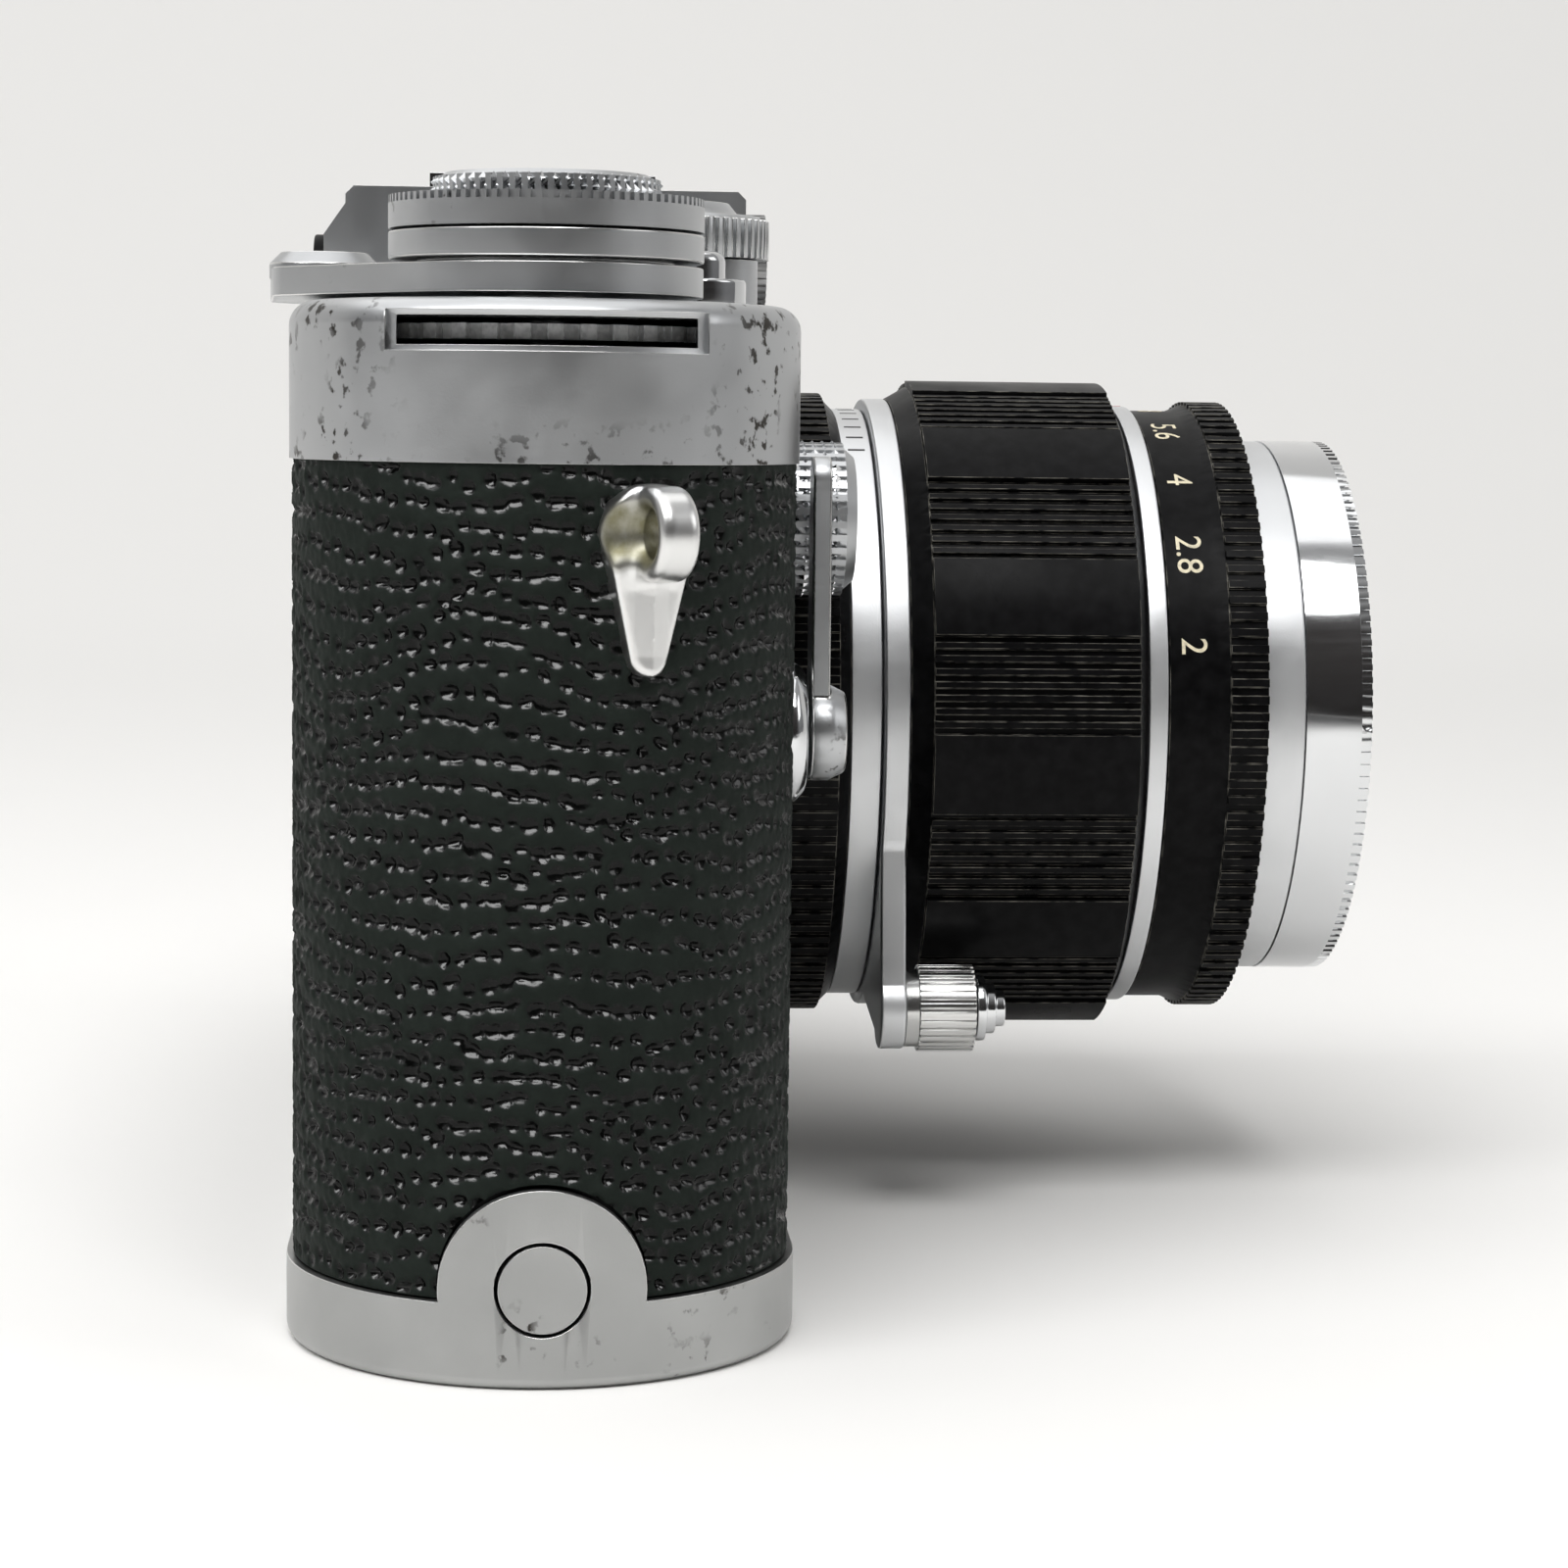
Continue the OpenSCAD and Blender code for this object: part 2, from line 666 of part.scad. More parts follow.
// Wind stack levels
lever_z = top_z + lever_gap;
lever_top = lever_z + lever_t;
cap_z = lever_top + cap_gap;
cap_top = cap_z + cap_t;
dial_z = cap_top + face_gap;
dial_top = dial_z + dial_t;
knob_z = dial_top + face_gap;
knob_top = knob_z + knob_t;
counter_z = ceiling_z - air_gap - counter_t;
speed_z = step_z + face_gap;

// Film plane behind mid-depth, and lens stations measured forwards from mid-depth
flange_d = max(shell_r + mount_proud, register - inner_r + film_room);
film_y = register - flange_d;
mount_t = flange_d - shell_r;
timer_plate_d = leather_r + timer_proud;
slow_d = cover_r + slow_proud;
base_ring_d0 = flange_d + seat_gap;
base_ring_d1 = base_ring_d0 + base_ring_l;
scale_d0 = base_ring_d1 + seat_gap;
scale_d1 = scale_d0 + scale_ring_l;
lock_d0 = scale_d1 + face_gap;
lock_d1 = lock_d0 + lock_ring_t;
focus_d0 = lock_d1 + seat_gap;
focus_d1 = focus_d0 + focus_l;
index_d0 = focus_d1 + face_gap;
index_d1 = index_d0 + index_l;
band_d0 = index_d1 + face_gap;
grip_d0 = band_d0 + band_l;
grip_d1 = grip_d0 + grip_slope + grip_l;
barrel_front = grip_d1 + face_gap;
front_d0 = barrel_front + seat_gap;
front_d1 = front_d0 + front_l;
filter_d0 = front_d1 + seat_gap;
filter_d1 = filter_d0 + filter_l;
filter_seat_d = filter_d1 - filter_recess - filter_glass_t;
tail_d = flange_d - tail_l;
barrel_rear = tail_d - guide_proud;
shoulder_d = focus_d0 + face_gap;
iris_room = 6 * blade_pitch + 2 * air_gap;
iris_d1 = index_d0 - air_gap;
iris_d0 = iris_d1 - iris_room;
crate_back = film_y - rail_h;
drum_y = crate_back - drum_room;
arm_d = barrel_rear - 2 * face_gap - arm_roller_r;

// Lens radii
mount_r = thread_r + mount_rim;
base_ring_r = thread_r + base_ring_rim;
tail_r = thread_r - 2 * seat_gap;
guide_bore = tail_r - tail_wall;
guide_r = guide_bore - running_gap;
sleeve_r = guide_bore + sleeve_wall;
scale_ring_r = sleeve_r + seat_gap + scale_ring_wall;
barrel_bore = barrel_r + running_gap;
focus_r = barrel_bore + focus_wall;
lock_ring_r = sleeve_r + running_gap + lock_ring_wall;
lock_reach = focus_r + lock_offset;
index_r = barrel_r + seat_gap + index_wall;
band_r = barrel_bore + band_wall;
grip_r = band_r + grip_rise;
front_r = barrel_r + front_rise;
front_thread_r = front_r - front_wall;
filter_r = front_thread_r + filter_wall;
filter_glass_r = front_thread_r - filter_rim;
iris_room_r = barrel_r - barrel_wall;
blade_outer_r = iris_room_r - blade_room;
blade_pivot_r = blade_outer_r - blade_eye_r;
iris_open_r = blade_outer_r - blade_w;

// Shapes shared by several pieces

// Flat outline of the body: two round ends and straight sides
module body_outline(r) {
  square([2 * end_x, 2 * r], center = true);
  for (side = [-1, 1])
    translate([side * end_x, 0])
      circle(r);
}

// Upright slab of the body's outline
module slab(r, z0, z1) {
  translate([0, 0, z0])
    linear_extrude(z1 - z0)
      body_outline(r);
}

// Half section of a pan whose upper edge is rounded
module pan_section(r, h, round) {
  square([r, h - round]);
  square([r - round, h]);
  translate([r - round, h - round])
    circle(round);
}

// Slab of the body's outline with a rounded upper edge
module pan(r, h, round) {
  for (side = [-1, 1])
    translate([side * end_x, 0, 0])
      rotate_extrude()
        pan_section(r, h, round);
  rotate([90, 0, 90])
    linear_extrude(2 * end_x, center = true) {
      pan_section(r, h, round);
      mirror([1, 0])
        pan_section(r, h, round);
    }
}

// Turns a piece drawn upright so that it points forwards at the given place
module front(x = 0, z = lens_z) {
  translate([x, 0, z])
    rotate([90, 0, 0])
      children();
}

// Turns a piece drawn upright so that it points out of an end of the body
module outwards(side, z, y = 0) {
  translate([side * end_x, 0, z])
    rotate([0, 0, side < 0 ? 180 + turn_at(y) : -turn_at(y)])
      rotate([0, 90, 0])
        children();
}

// Turn of the outward direction at depth y on a round end
function turn_at(y) = asin(-y / leather_r);

// Round bar between two stations
module bar(r, z0, z1) {
  translate([0, 0, z0])
    cylinder(r = r, h = z1 - z0);
}

// Ring between two stations
module ring(r_out, r_in, z0, z1) {
  difference() {
    bar(r_out, z0, z1);
    bar(r_in, z0 - cut, z1 + cut);
  }
}

// Tapered ring between two stations
module cone_ring(r0, r1, r_in, z0, z1) {
  difference() {
    translate([0, 0, z0])
      cylinder(r1 = r0, r2 = r1, h = z1 - z0);
    bar(r_in, z0 - cut, z1 + cut);
  }
}

// Outline of straight ribs: for each rib a raised and a lowered stretch
function rib_outline(r, count, depth) = [
  for (i = [0:count - 1])
    for (p = [[0, 0], [0.5, 0], [0.5, depth], [1, depth]])
      (r - p[1]) * [cos((i + p[0]) * 360 / count), sin((i + p[0]) * 360 / count)]
];

// Ribbed bar between two stations
module ribbed(r, count, depth, z0, z1) {
  translate([0, 0, z0])
    linear_extrude(z1 - z0)
      polygon(rib_outline(r, count, depth));
}

// Small slotted screw with its head's top at z = 0, pointing down
module screw() {
  difference() {
    union() {
      bar(screw_head_r, -screw_head_h, 0);
      bar(screw_r, -screw_head_h - $shank, -screw_head_h);
    }
    cube([3 * screw_head_r, screw_slot, screw_head_h], center = true);
  }
}

// Room for a small screw
module screw_room() {
  bar(screw_head_r + seat_gap, -screw_head_h - seat_gap, cut);
  bar(screw_r + seat_gap, -screw_head_h - $shank - seat_gap, 0);
}

// Places the children at every small screw of the fixed body, with its shank's length
module at_screws() {
  $shank = screw_l;
  for (turn = [45:90:315])
    front()
      rotate([0, 0, turn])
        translate([(thread_r + mount_r) / 2, 0, flange_d]) {
          $shank = mount_t - screw_head_h + screw_bite;
          children();
        }
  for (x = [-1, 1])
    for (side = [0, 180])
      translate([x * cover_screw_x, 0, cover_z + spigot_h / 2])
        rotate([90, 0, side])
          translate([0, 0, cover_r])
            children();
  for (x = [-1, 1])
    for (y = [-1, 1])
      translate([finder_x + x * shoe_screw_x, y * shoe_screw_y, pocket_z + seat_gap + shoe_t])
        children();
}

// Body

// Shafts that pass the deck, as places and radii
deck_shafts = [
  [hub_x, 0, shaft_r],
  [end_x, 0, shaft_r],
  [drum_x, drum_y, pin_r],
  [sprocket_x, sprocket_y, pin_r],
  [release_x, release_y, pin_r],
  [arm_x, -arm_d, pin_r]
];

module body_shell() {
  color([0.16, 0.16, 0.17])
    difference() {
      union() {
        slab(shell_r, shell_z, cover_z);
        slab(spigot_r, cover_z, deck_z);
      }
      slab(inner_r, shell_z - cut, deck_under);
      front()
        bar(throat_r, inner_r - cut, shell_r + cut);
      for (shaft = deck_shafts)
        translate([shaft[0], shaft[1], 0])
          bar(shaft[2] + running_gap, deck_under - cut, deck_z + cut);
      front(timer_x, timer_z)
        bar(pin_r + running_gap, inner_r - cut, shell_r + cut);
      front(slow_x, slow_z)
        bar(pin_r + running_gap, inner_r - cut, shell_r + cut);
      outwards(-1, stud_z)
        bar(pin_r + seat_gap, inner_r - cut, shell_r + cut);
      at_screws()
        screw_room();
    }
}

module leather_cover() {
  color([0.05, 0.06, 0.05])
    difference() {
      slab(leather_r, base_h + face_gap, cover_z - seat_gap);
      slab(shell_r + seat_gap, base_h - cut, cover_z + cut);
      front()
        bar(mount_r + tab_gap, 0, leather_r + cut);
      front(timer_x, timer_z)
        bar(timer_plate_r + seat_gap, 0, leather_r + cut);
      front(slow_x, slow_z)
        bar(pin_r + air_gap, 0, leather_r + cut);
      outwards(-1, tab_z)
        bar(tab_r + tab_gap, shell_r - cut * 2, leather_r + cut);
      translate([-end_x - leather_r - cut, -tab_r - tab_gap, 0])
        cube([leather_r, 2 * (tab_r + tab_gap), tab_z]);
    }
}

// Half section of the finder housing, drawn with depth as x and height as y
function housing_section(wall, roof) = [
  [-housing_front + wall, ceiling_z - cover_top_t],
  [housing_heel - wall, ceiling_z - cover_top_t],
  [housing_heel - wall, housing_z - slope_drop - slope_h],
  [housing_back - wall, housing_z - slope_drop],
  [housing_back - wall, housing_z - max(roof, housing_bevel)],
  [housing_back - max(wall, housing_bevel), housing_z - roof],
  [-housing_front + max(wall, housing_bevel), housing_z - roof],
  [-housing_front + wall, housing_z - max(roof, housing_bevel)]
];

// Housing block between two stations, inset by a wall and a roof
module housing_block(x0, x1, wall, roof) {
  translate([x0, 0, 0])
    rotate([90, 0, 90])
      linear_extrude(x1 - x0)
        polygon(housing_section(wall, roof));
}

// Outline of the dial step, inset by a wall
module step_outline(wall) {
  r = step_corner - wall;
  for (y = [-housing_front + step_corner, step_back - step_corner])
    translate([step_x + step_corner, y])
      circle(r);
  translate([step_x + step_corner, -housing_front + wall])
    square([housing_x0 - step_x - step_corner + housing_wall + cut, housing_front + step_back - 2 * wall]);
  translate([step_x + wall, -housing_front + step_corner])
    square([step_corner, housing_front + step_back - 2 * step_corner]);
}

module top_cover() {
  color([0.75, 0.76, 0.77])
    difference() {
      union() {
        translate([0, 0, cover_z])
          pan(cover_r, cover_h, cover_round);
        translate([0, 0, ceiling_z])
          linear_extrude(step_z - ceiling_z)
            step_outline(0);
        housing_block(housing_x0, housing_x1, 0, 0);
      }
      slab(cover_r - cover_wall, cover_z - cut, ceiling_z);
      translate([0, 0, ceiling_z - cut])
        linear_extrude(step_z - cover_top_t - ceiling_z + cut)
          step_outline(cover_wall);
      housing_block(housing_x0 + housing_wall, housing_x1 - housing_wall, housing_wall, housing_roof);
      counter_slot();
      front()
        bar(mount_r + tab_gap, cover_r - 2 * cover_wall, cover_r + cut);
      translate([hub_x, 0, 0])
        bar(shaft_r + air_gap, ceiling_z - cut, top_z + cut);
      translate([end_x, 0, 0])
        bar(shaft_r + air_gap, ceiling_z - cut, top_z + cut);
      translate([release_x, release_y, 0])
        bar(release_r + running_gap, ceiling_z - cut, top_z + cut);
      translate([catch_x, catch_y, 0])
        bar(pin_r + running_gap, ceiling_z - cut, top_z + cut);
      translate([speed_x, speed_y, 0])
        bar(pin_r + running_gap, step_z - cover_top_t - cut, step_z + cut);
      for (x = [near_window_x, far_window_x])
        front(x, window_z)
          bar(bezel_glass_r + seat_gap * 2, housing_front - housing_wall - cut, housing_front + cut);
      front(finder_x, window_z)
        translate([0, 0, housing_front])
          cube([
            finder_frame_w - 2 * finder_rim,
            finder_frame_h - 2 * finder_rim,
            3 * housing_wall
          ], center = true);
      for (x = [near_window_x, finder_x])
        front(x, eyepiece_z)
          bar(eyepiece_glass_r + seat_gap * 2, -housing_heel - cut, -housing_heel + housing_wall + cut);
      translate([finder_x, 0, pocket_z + cut * 4])
        cube([shoe_w + 2 * shoe_t + 2 * air_gap, shoe_l + 2 * air_gap, cut * 8], center = true);
      at_screws()
        screw_room();
    }
}

// Slot in the wind end of the cover, with a bevel around it
module counter_slot() {
  mid_z = ceiling_z - slot_h / 2;
  translate([hub_x - cover_r, 0, mid_z])
    cube([cover_r, slot_w, slot_h], center = true);
  intersection() {
    translate([hub_x - cover_r, 0, mid_z])
      cube([cover_r, slot_w + 2 * slot_bevel, slot_h + slot_bevel], center = true);
    difference() {
      slab(cover_r + cut, cover_z, top_z - cover_top_t + slot_bevel / 2);
      slab(cover_r - slot_bevel / 2, cover_z - cut, top_z);
    }
  }
}

module body_screws() {
  color([0.7, 0.7, 0.7])
    at_screws()
      screw();
}

// Flat outline of a lug: a round head that narrows to a round tip
module lug_outline() {
  circle(lug_r);
  translate([lug_drop, 0])
    circle(lug_tip_r);
  polygon([
    [0, lug_r - cut_in],
    [lug_drop, lug_tip_r - cut_in],
    [lug_drop, cut_in - lug_tip_r],
    [0, cut_in - lug_r]
  ]);
}

module strap_lugs() {
  eye_d = leather_r + lug_t + lug_lift + lug_hole_r;
  color([0.85, 0.85, 0.84])
    for (side = [-1, 1])
      difference() {
        outwards(side, lug_z, lug_y) {
          difference() {
            union() {
              translate([0, 0, leather_r - lug_t])
                linear_extrude(2 * lug_t)
                  lug_outline();
              translate([0, 0, eye_d])
                rotate([90, 0, 0])
                  bar(lug_r, -lug_eye_w / 2, lug_eye_w / 2);
            }
            translate([0, 0, eye_d])
              rotate([90, 0, 0])
                bar(lug_hole_r, -2 * lug_r, 2 * lug_r);
          }
        }
        slab(leather_r + seat_gap, base_h, cover_z);
      }
}

module base_stud() {
  color([0.72, 0.73, 0.74])
    difference() {
      outwards(-1, stud_z) {
        bar(stud_r, shell_r - cut, base_r - 2 * seat_gap);
        bar(pin_r, inner_r - cut, shell_r);
      }
      difference() {
        slab(shell_r + seat_gap, 0, cover_z);
        outwards(-1, stud_z)
          bar(pin_r, 0, base_r);
      }
    }
}

module base_plate() {
  color([0.74, 0.75, 0.76])
    difference() {
      union() {
        translate([0, 0, base_h])
          mirror([0, 0, 1])
            pan(base_r, base_h, base_round);
        intersection() {
          slab(base_r, base_h / 2, cover_z);
          outwards(-1, tab_z)
            bar(tab_r, shell_r / 2, base_r + cut);
        }
      }
      slab(shell_r + base_gap, base_floor, cover_z);
      outwards(-1, stud_z)
        bar(stud_r + stud_gap, shell_r, base_r + cut);
      translate([bush_x, 0, 0])
        bar(bush_r + seat_gap, -cut, base_floor + cut);
      translate([key_x, 0, 0])
        bar(key_r + running_gap, -cut, base_floor + cut);
    }
}

module tripod_bush() {
  color([0.7, 0.68, 0.6])
    translate([bush_x, 0, 0]) {
      ring(bush_r, tripod_r, seat_gap, bush_h);
      ring(bush_r + bush_flange, tripod_r, base_floor + seat_gap, base_floor + bush_flange);
    }
}

// Key that locks the base plate: a flush disc with a finger bar, and a cam bar inside
module lock_key() {
  flange_z = base_floor + face_gap;
  color([0.74, 0.75, 0.76])
    translate([key_x, 0, 0]) {
      difference() {
        bar(key_r, face_gap, flange_z);
        for (side = [-1, 1])
          intersection() {
            bar(key_r - key_rim, 0, face_gap + key_pocket);
            translate([-key_r, side > 0 ? finger_bar / 2 : -finger_bar / 2 - key_r, 0])
              cube([2 * key_r, key_r, face_gap + key_pocket]);
          }
      }
      bar(key_r + key_lip, flange_z, flange_z + key_lip_t);
      translate([-cam_reach, -cam_w / 2, flange_z + key_lip_t / 2])
        cube([2 * cam_reach, cam_w, cam_t]);
    }
}

// Lens mount and shutter

module mount_ring() {
  color([0.78, 0.79, 0.8])
    difference() {
      front()
        ring(mount_r, thread_r, shell_r + seat_gap, flange_d);
      at_screws()
        screw_room();
    }
}

module shutter_crate() {
  bottom = lens_z - crate_drop;
  color([0.2, 0.2, 0.21]) {
    difference() {
      translate([-crate_x, -crate_front, bottom])
        cube([2 * crate_x, crate_front + crate_back, deck_under - seat_gap - bottom]);
      translate([-crate_x + crate_wall, -crate_front + crate_wall, bottom - cut])
        cube([
          2 * (crate_x - crate_wall),
          crate_front + crate_back - 2 * crate_wall,
          deck_under - crate_wall - bottom + cut
        ]);
      front()
        bar(guide_r, 0, crate_front + cut);
      translate([0, crate_back, lens_z])
        cube([gate_w, 4 * crate_wall, gate_h], center = true);
      for (shaft = [deck_shafts[2]])
        translate([shaft[0], shaft[1], 0])
          bar(shaft[2] + running_gap, bottom, deck_z);
    }
    for (side = [-1, 1])
      translate([0, crate_back + rail_h / 2, lens_z + side * (gate_h / 2 + rail_offset)])
        cube([2 * crate_x, rail_h, rail_w], center = true);
  }
}

module shutter_curtains() {
  color([0.06, 0.06, 0.06])
    translate([0, drum_y + drum_r + air_gap, lens_z])
      translate([drum_x, -cloth_t / 2, -cloth_h / 2])
        cube([-2 * drum_x, cloth_t, cloth_h]);
}

module spring_rollers() {
  color([0.6, 0.6, 0.6])
    for (y = [drum_y + drum_r - roller_r, drum_y + drum_r - 3 * roller_r - roller_gap])
      translate([-drum_x, y, 0])
        bar(roller_r, lens_z - cloth_h / 2 - cloth_margin, deck_under - crate_wall - seat_gap * 2);
}

module pressure_plate() {
  plate_y = film_y + film_gap;
  spring_y = plate_y + plate_t + seat_gap;
  spring_room = inner_r - seat_gap - spring_y;
  spring_bend = spring_l - spring_foot;
  color([0.12, 0.12, 0.12]) {
    translate([-plate_w / 2, plate_y, lens_z - plate_h / 2])
      cube([plate_w, plate_t, plate_h]);
    for (z = [-1, 1])
      translate([0, spring_y, lens_z + z * plate_h / 4])
        linear_extrude(spring_w, center = true)
          polygon([
            [-spring_l, 0], [-spring_bend, 0], [0, spring_room - spring_t], [spring_bend, 0], [spring_l, 0],
            [spring_l, spring_t], [spring_bend, spring_t], [0, spring_room],
            [-spring_bend, spring_t], [-spring_l, spring_t]
          ]);
  }
}

// Top controls

module release_collar() {
  color([0.78, 0.79, 0.8])
    translate([release_x, release_y, 0])
      ring(collar_r, release_r + running_gap, top_z, top_z + collar_h);
}

module release_button() {
  shoulder_z = top_z + button_travel - cover_top_t + face_gap * 2;
  button_top = top_z + collar_h + button_proud;
  color([0.78, 0.79, 0.8])
    translate([release_x, release_y, 0]) {
      bar(pin_r, deck_under - release_reach, shoulder_z);
      bar(release_r, shoulder_z, button_top - button_bevel);
      translate([0, 0, button_top - button_bevel])
        cylinder(r1 = release_r, r2 = release_r - button_taper, h = button_bevel);
    }
}

module speed_dial() {
  rim_top = speed_z + speed_h;
  dome_r = speed_r - speed_shoulder;
  color([0.76, 0.77, 0.78])
    translate([speed_x, speed_y, 0]) {
      bar(pin_r, step_z - 2 * cover_top_t, speed_z);
      ribbed(speed_r, speed_ribs, dial_rib, speed_z, rim_top - dial_bevel);
      translate([0, 0, rim_top - dial_bevel])
        cylinder(r1 = speed_r - dial_rib, r2 = speed_r - dial_rib - dial_bevel, h = dial_bevel);
      translate([0, 0, rim_top])
        cylinder(r1 = dome_r, r2 = dome_r - dome_taper, h = speed_dome_h);
    }
}

module rewind_catch() {
  z0 = top_z + face_gap;
  color([0.76, 0.77, 0.78])
    translate([catch_x, catch_y, 0]) {
      bar(pin_r, ceiling_z - 2 * face_gap, z0);
      bar(catch_r, z0, z0 + catch_hub_t);
      translate([0, 0, z0])
        linear_extrude(catch_t)
          polygon([
            [-catch_w / 2, 0],
            [catch_w / 2, 0],
            [catch_tip_w / 2, -catch_l],
            [-catch_tip_w / 2, -catch_l]
          ]);
    }
}

module rewind_knob() {
  z0 = top_z + air_gap;
  color([0.76, 0.77, 0.78])
    translate([end_x, 0, 0])
      difference() {
        union() {
          bar(rewind_r - rewind_inset, z0, z0 + rewind_foot);
          ribbed(rewind_r, rewind_ribs, dial_rib, z0 + rewind_foot, z0 + rewind_h - rewind_bevel);
          translate([0, 0, z0 + rewind_h - rewind_bevel])
            cylinder(r1 = rewind_r - dial_rib, r2 = rewind_r - rewind_inset, h = rewind_bevel);
        }
        bar(shaft_r + seat_gap, z0 - cut, z0 + rewind_h / 2);
      }
}

module rewind_shaft() {
  fork_z = lens_z + fork_rise;
  color([0.6, 0.6, 0.58])
    translate([end_x, 0, 0]) {
      bar(shaft_r, fork_z + fork_h, top_z + air_gap + rewind_h / 2 - 2 * seat_gap);
      translate([-fork_w / 2, -fork_t / 2, fork_z])
        cube([fork_w, fork_t, fork_h]);
    }
}

// Wind lever

// Flat disc of the lever at a place seen from its hub
module lever_disc(x, y, r, z0, z1) {
  translate([hub_x + x, y, z0])
    cylinder(r = r, h = z1 - z0, $fn = 32);
}

module advance_lever() {
  pad_r = lever_tip_r - pad_inset;
  color([0.75, 0.76, 0.77])
    difference() {
      union() {
        hull() {
          translate([hub_x, 0, lever_z])
            cylinder(r = hub_r, h = lever_t, $fn = 72);
          lever_disc(lever_bend_x, lever_bend_y, lever_tip_r, lever_z, lever_top);
        }
        hull() {
          lever_disc(lever_bend_x, lever_bend_y, lever_tip_r, lever_z, lever_top);
          lever_disc(lever_tip_x, lever_tip_y, lever_tip_r, lever_z, lever_top);
        }
        hull()
          for (x = [lever_tip_x - pad_l, lever_tip_x]) {
            lever_disc(x, lever_tip_y, pad_r, lever_top - pad_sink, lever_top + pad_t - pad_round);
            lever_disc(x, lever_tip_y, pad_r - pad_round, lever_top, lever_top + pad_t);
          }
      }
      translate([hub_x, 0, 0])
        bar(shaft_r + seat_gap, lever_z - cut, lever_top + cut);
    }
}

module advance_shaft() {
  color([0.6, 0.6, 0.58])
    translate([hub_x, 0, 0])
      bar(shaft_r, lens_z - film_w / 2 - shaft_margin, cap_top);
}

module lever_cap() {
  color([0.75, 0.76, 0.77])
    translate([hub_x, 0, 0])
      difference() {
        union() {
          bar(cap_r - cap_inset, lever_top + seat_gap, cap_z);
          bar(cap_r, cap_z, cap_top);
          bar(post_r, cap_top, knob_z - seat_gap);
        }
        bar(shaft_r + seat_gap, lever_top - cut, cap_top + seat_gap);
      }
}

module reminder_dial() {
  color([0.76, 0.77, 0.78])
    translate([hub_x, 0, 0])
      difference() {
        union() {
          bar(cap_r, dial_z, dial_top - tooth_h);
          ribbed(cap_r - cut_in, reminder_teeth, tooth_depth, dial_top - tooth_h, dial_top);
        }
        bar(post_r + running_gap, dial_z - cut, dial_top + cut);
      }
}

module reminder_knob() {
  low_r = knob_r - tooth_depth;
  color([0.7, 0.71, 0.72])
    translate([hub_x, 0, 0]) {
      ribbed(knob_r, knob_ribs, tooth_depth, knob_z, knob_top - knob_bevel);
      translate([0, 0, knob_top - knob_bevel])
        cylinder(r1 = low_r, r2 = low_r - knob_bevel_w, h = knob_bevel);
    }
}

module counter_wheel() {
  color([0.08, 0.08, 0.08])
    translate([hub_x, 0, 0])
      difference() {
        ribbed(counter_r, counter_teeth, counter_tooth, counter_z, counter_z + counter_t);
        bar(shaft_r + running_gap, counter_z - cut, counter_z + counter_t + cut);
      }
}

// Film transport

module take_up_spool() {
  z0 = lens_z - film_w / 2 - spool_margin;
  z1 = lens_z + film_w / 2 + spool_margin;
  color([0.1, 0.1, 0.1])
    translate([hub_x, 0, 0])
      difference() {
        union() {
          bar(spool_r, z0, z1);
          bar(spool_flange_r, z0, z0 + flange_t);
          bar(spool_flange_r, z1 - flange_t, z1);
        }
        bar(shaft_r + running_gap, z0 - cut, z1 + cut);
      }
}

module sprocket() {
  edge = film_w / 2 - perforation_inset;
  color([0.7, 0.7, 0.7])
    translate([sprocket_x, sprocket_y, 0]) {
      bar(pin_r, lens_z - edge - 2 * sprocket_margin, pin_top);
      bar(sprocket_r - sprocket_drum_inset, lens_z - edge - sprocket_margin, lens_z + edge + sprocket_margin);
      for (side = [-1, 1])
        ribbed(
          sprocket_r, sprocket_teeth, sprocket_tooth,
          lens_z + side * edge - sprocket_tooth_w / 2, lens_z + side * edge + sprocket_tooth_w / 2
        );
    }
}

module curtain_drum() {
  color([0.55, 0.55, 0.55])
    translate([drum_x, drum_y, 0]) {
      bar(drum_r, lens_z - cloth_h / 2 - cloth_margin, lens_z + cloth_h / 2 + cloth_margin);
      bar(pin_r, lens_z - cloth_h / 2 - 2 * cloth_margin, pin_top);
    }
}

// Rangefinder arm: a roller that follows the lens, and the link to its pivot
module roller_arm() {
  link_z = lens_z + arm_rise;
  color([0.7, 0.65, 0.4])
    translate([0, -arm_d, 0]) {
      bar(arm_roller_r, link_z + arm_t, link_z + arm_t + arm_roller_h);
      translate([0, -arm_w / 2, link_z])
        cube([arm_x, arm_w, arm_t]);
      bar(arm_w / 2, link_z, link_z + arm_t);
      translate([arm_x, 0, 0]) {
        bar(arm_w / 2, link_z, link_z + arm_t);
        bar(pin_r, link_z, pin_top);
      }
    }
}

// Finder

module rangefinder_bezels() {
  color([0.6, 0.6, 0.6])
    for (x = [near_window_x, far_window_x])
      front(x, window_z)
        difference() {
          ribbed(bezel_r, bezel_ribs, bezel_rib, housing_front + seat_gap, housing_front + bezel_proud);
          bar(bezel_glass_r + seat_gap, housing_front - cut, housing_front + bezel_proud + cut);
        }
}

module finder_frame() {
  color([0.7, 0.7, 0.7])
    front(finder_x, window_z)
      translate([0, 0, housing_front + seat_gap])
        linear_extrude(finder_proud)
          difference() {
            square([finder_frame_w, finder_frame_h], center = true);
            square([finder_frame_w - 2 * finder_rim, finder_frame_h - 2 * finder_rim], center = true);
          }
}

module eyepiece_rims() {
  color([0.08, 0.08, 0.08])
    for (x = [near_window_x, finder_x])
      front(x, eyepiece_z)
        ring(eyepiece_r, eyepiece_glass_r + seat_gap,
             -housing_heel - eyepiece_proud, -housing_heel - seat_gap);
}

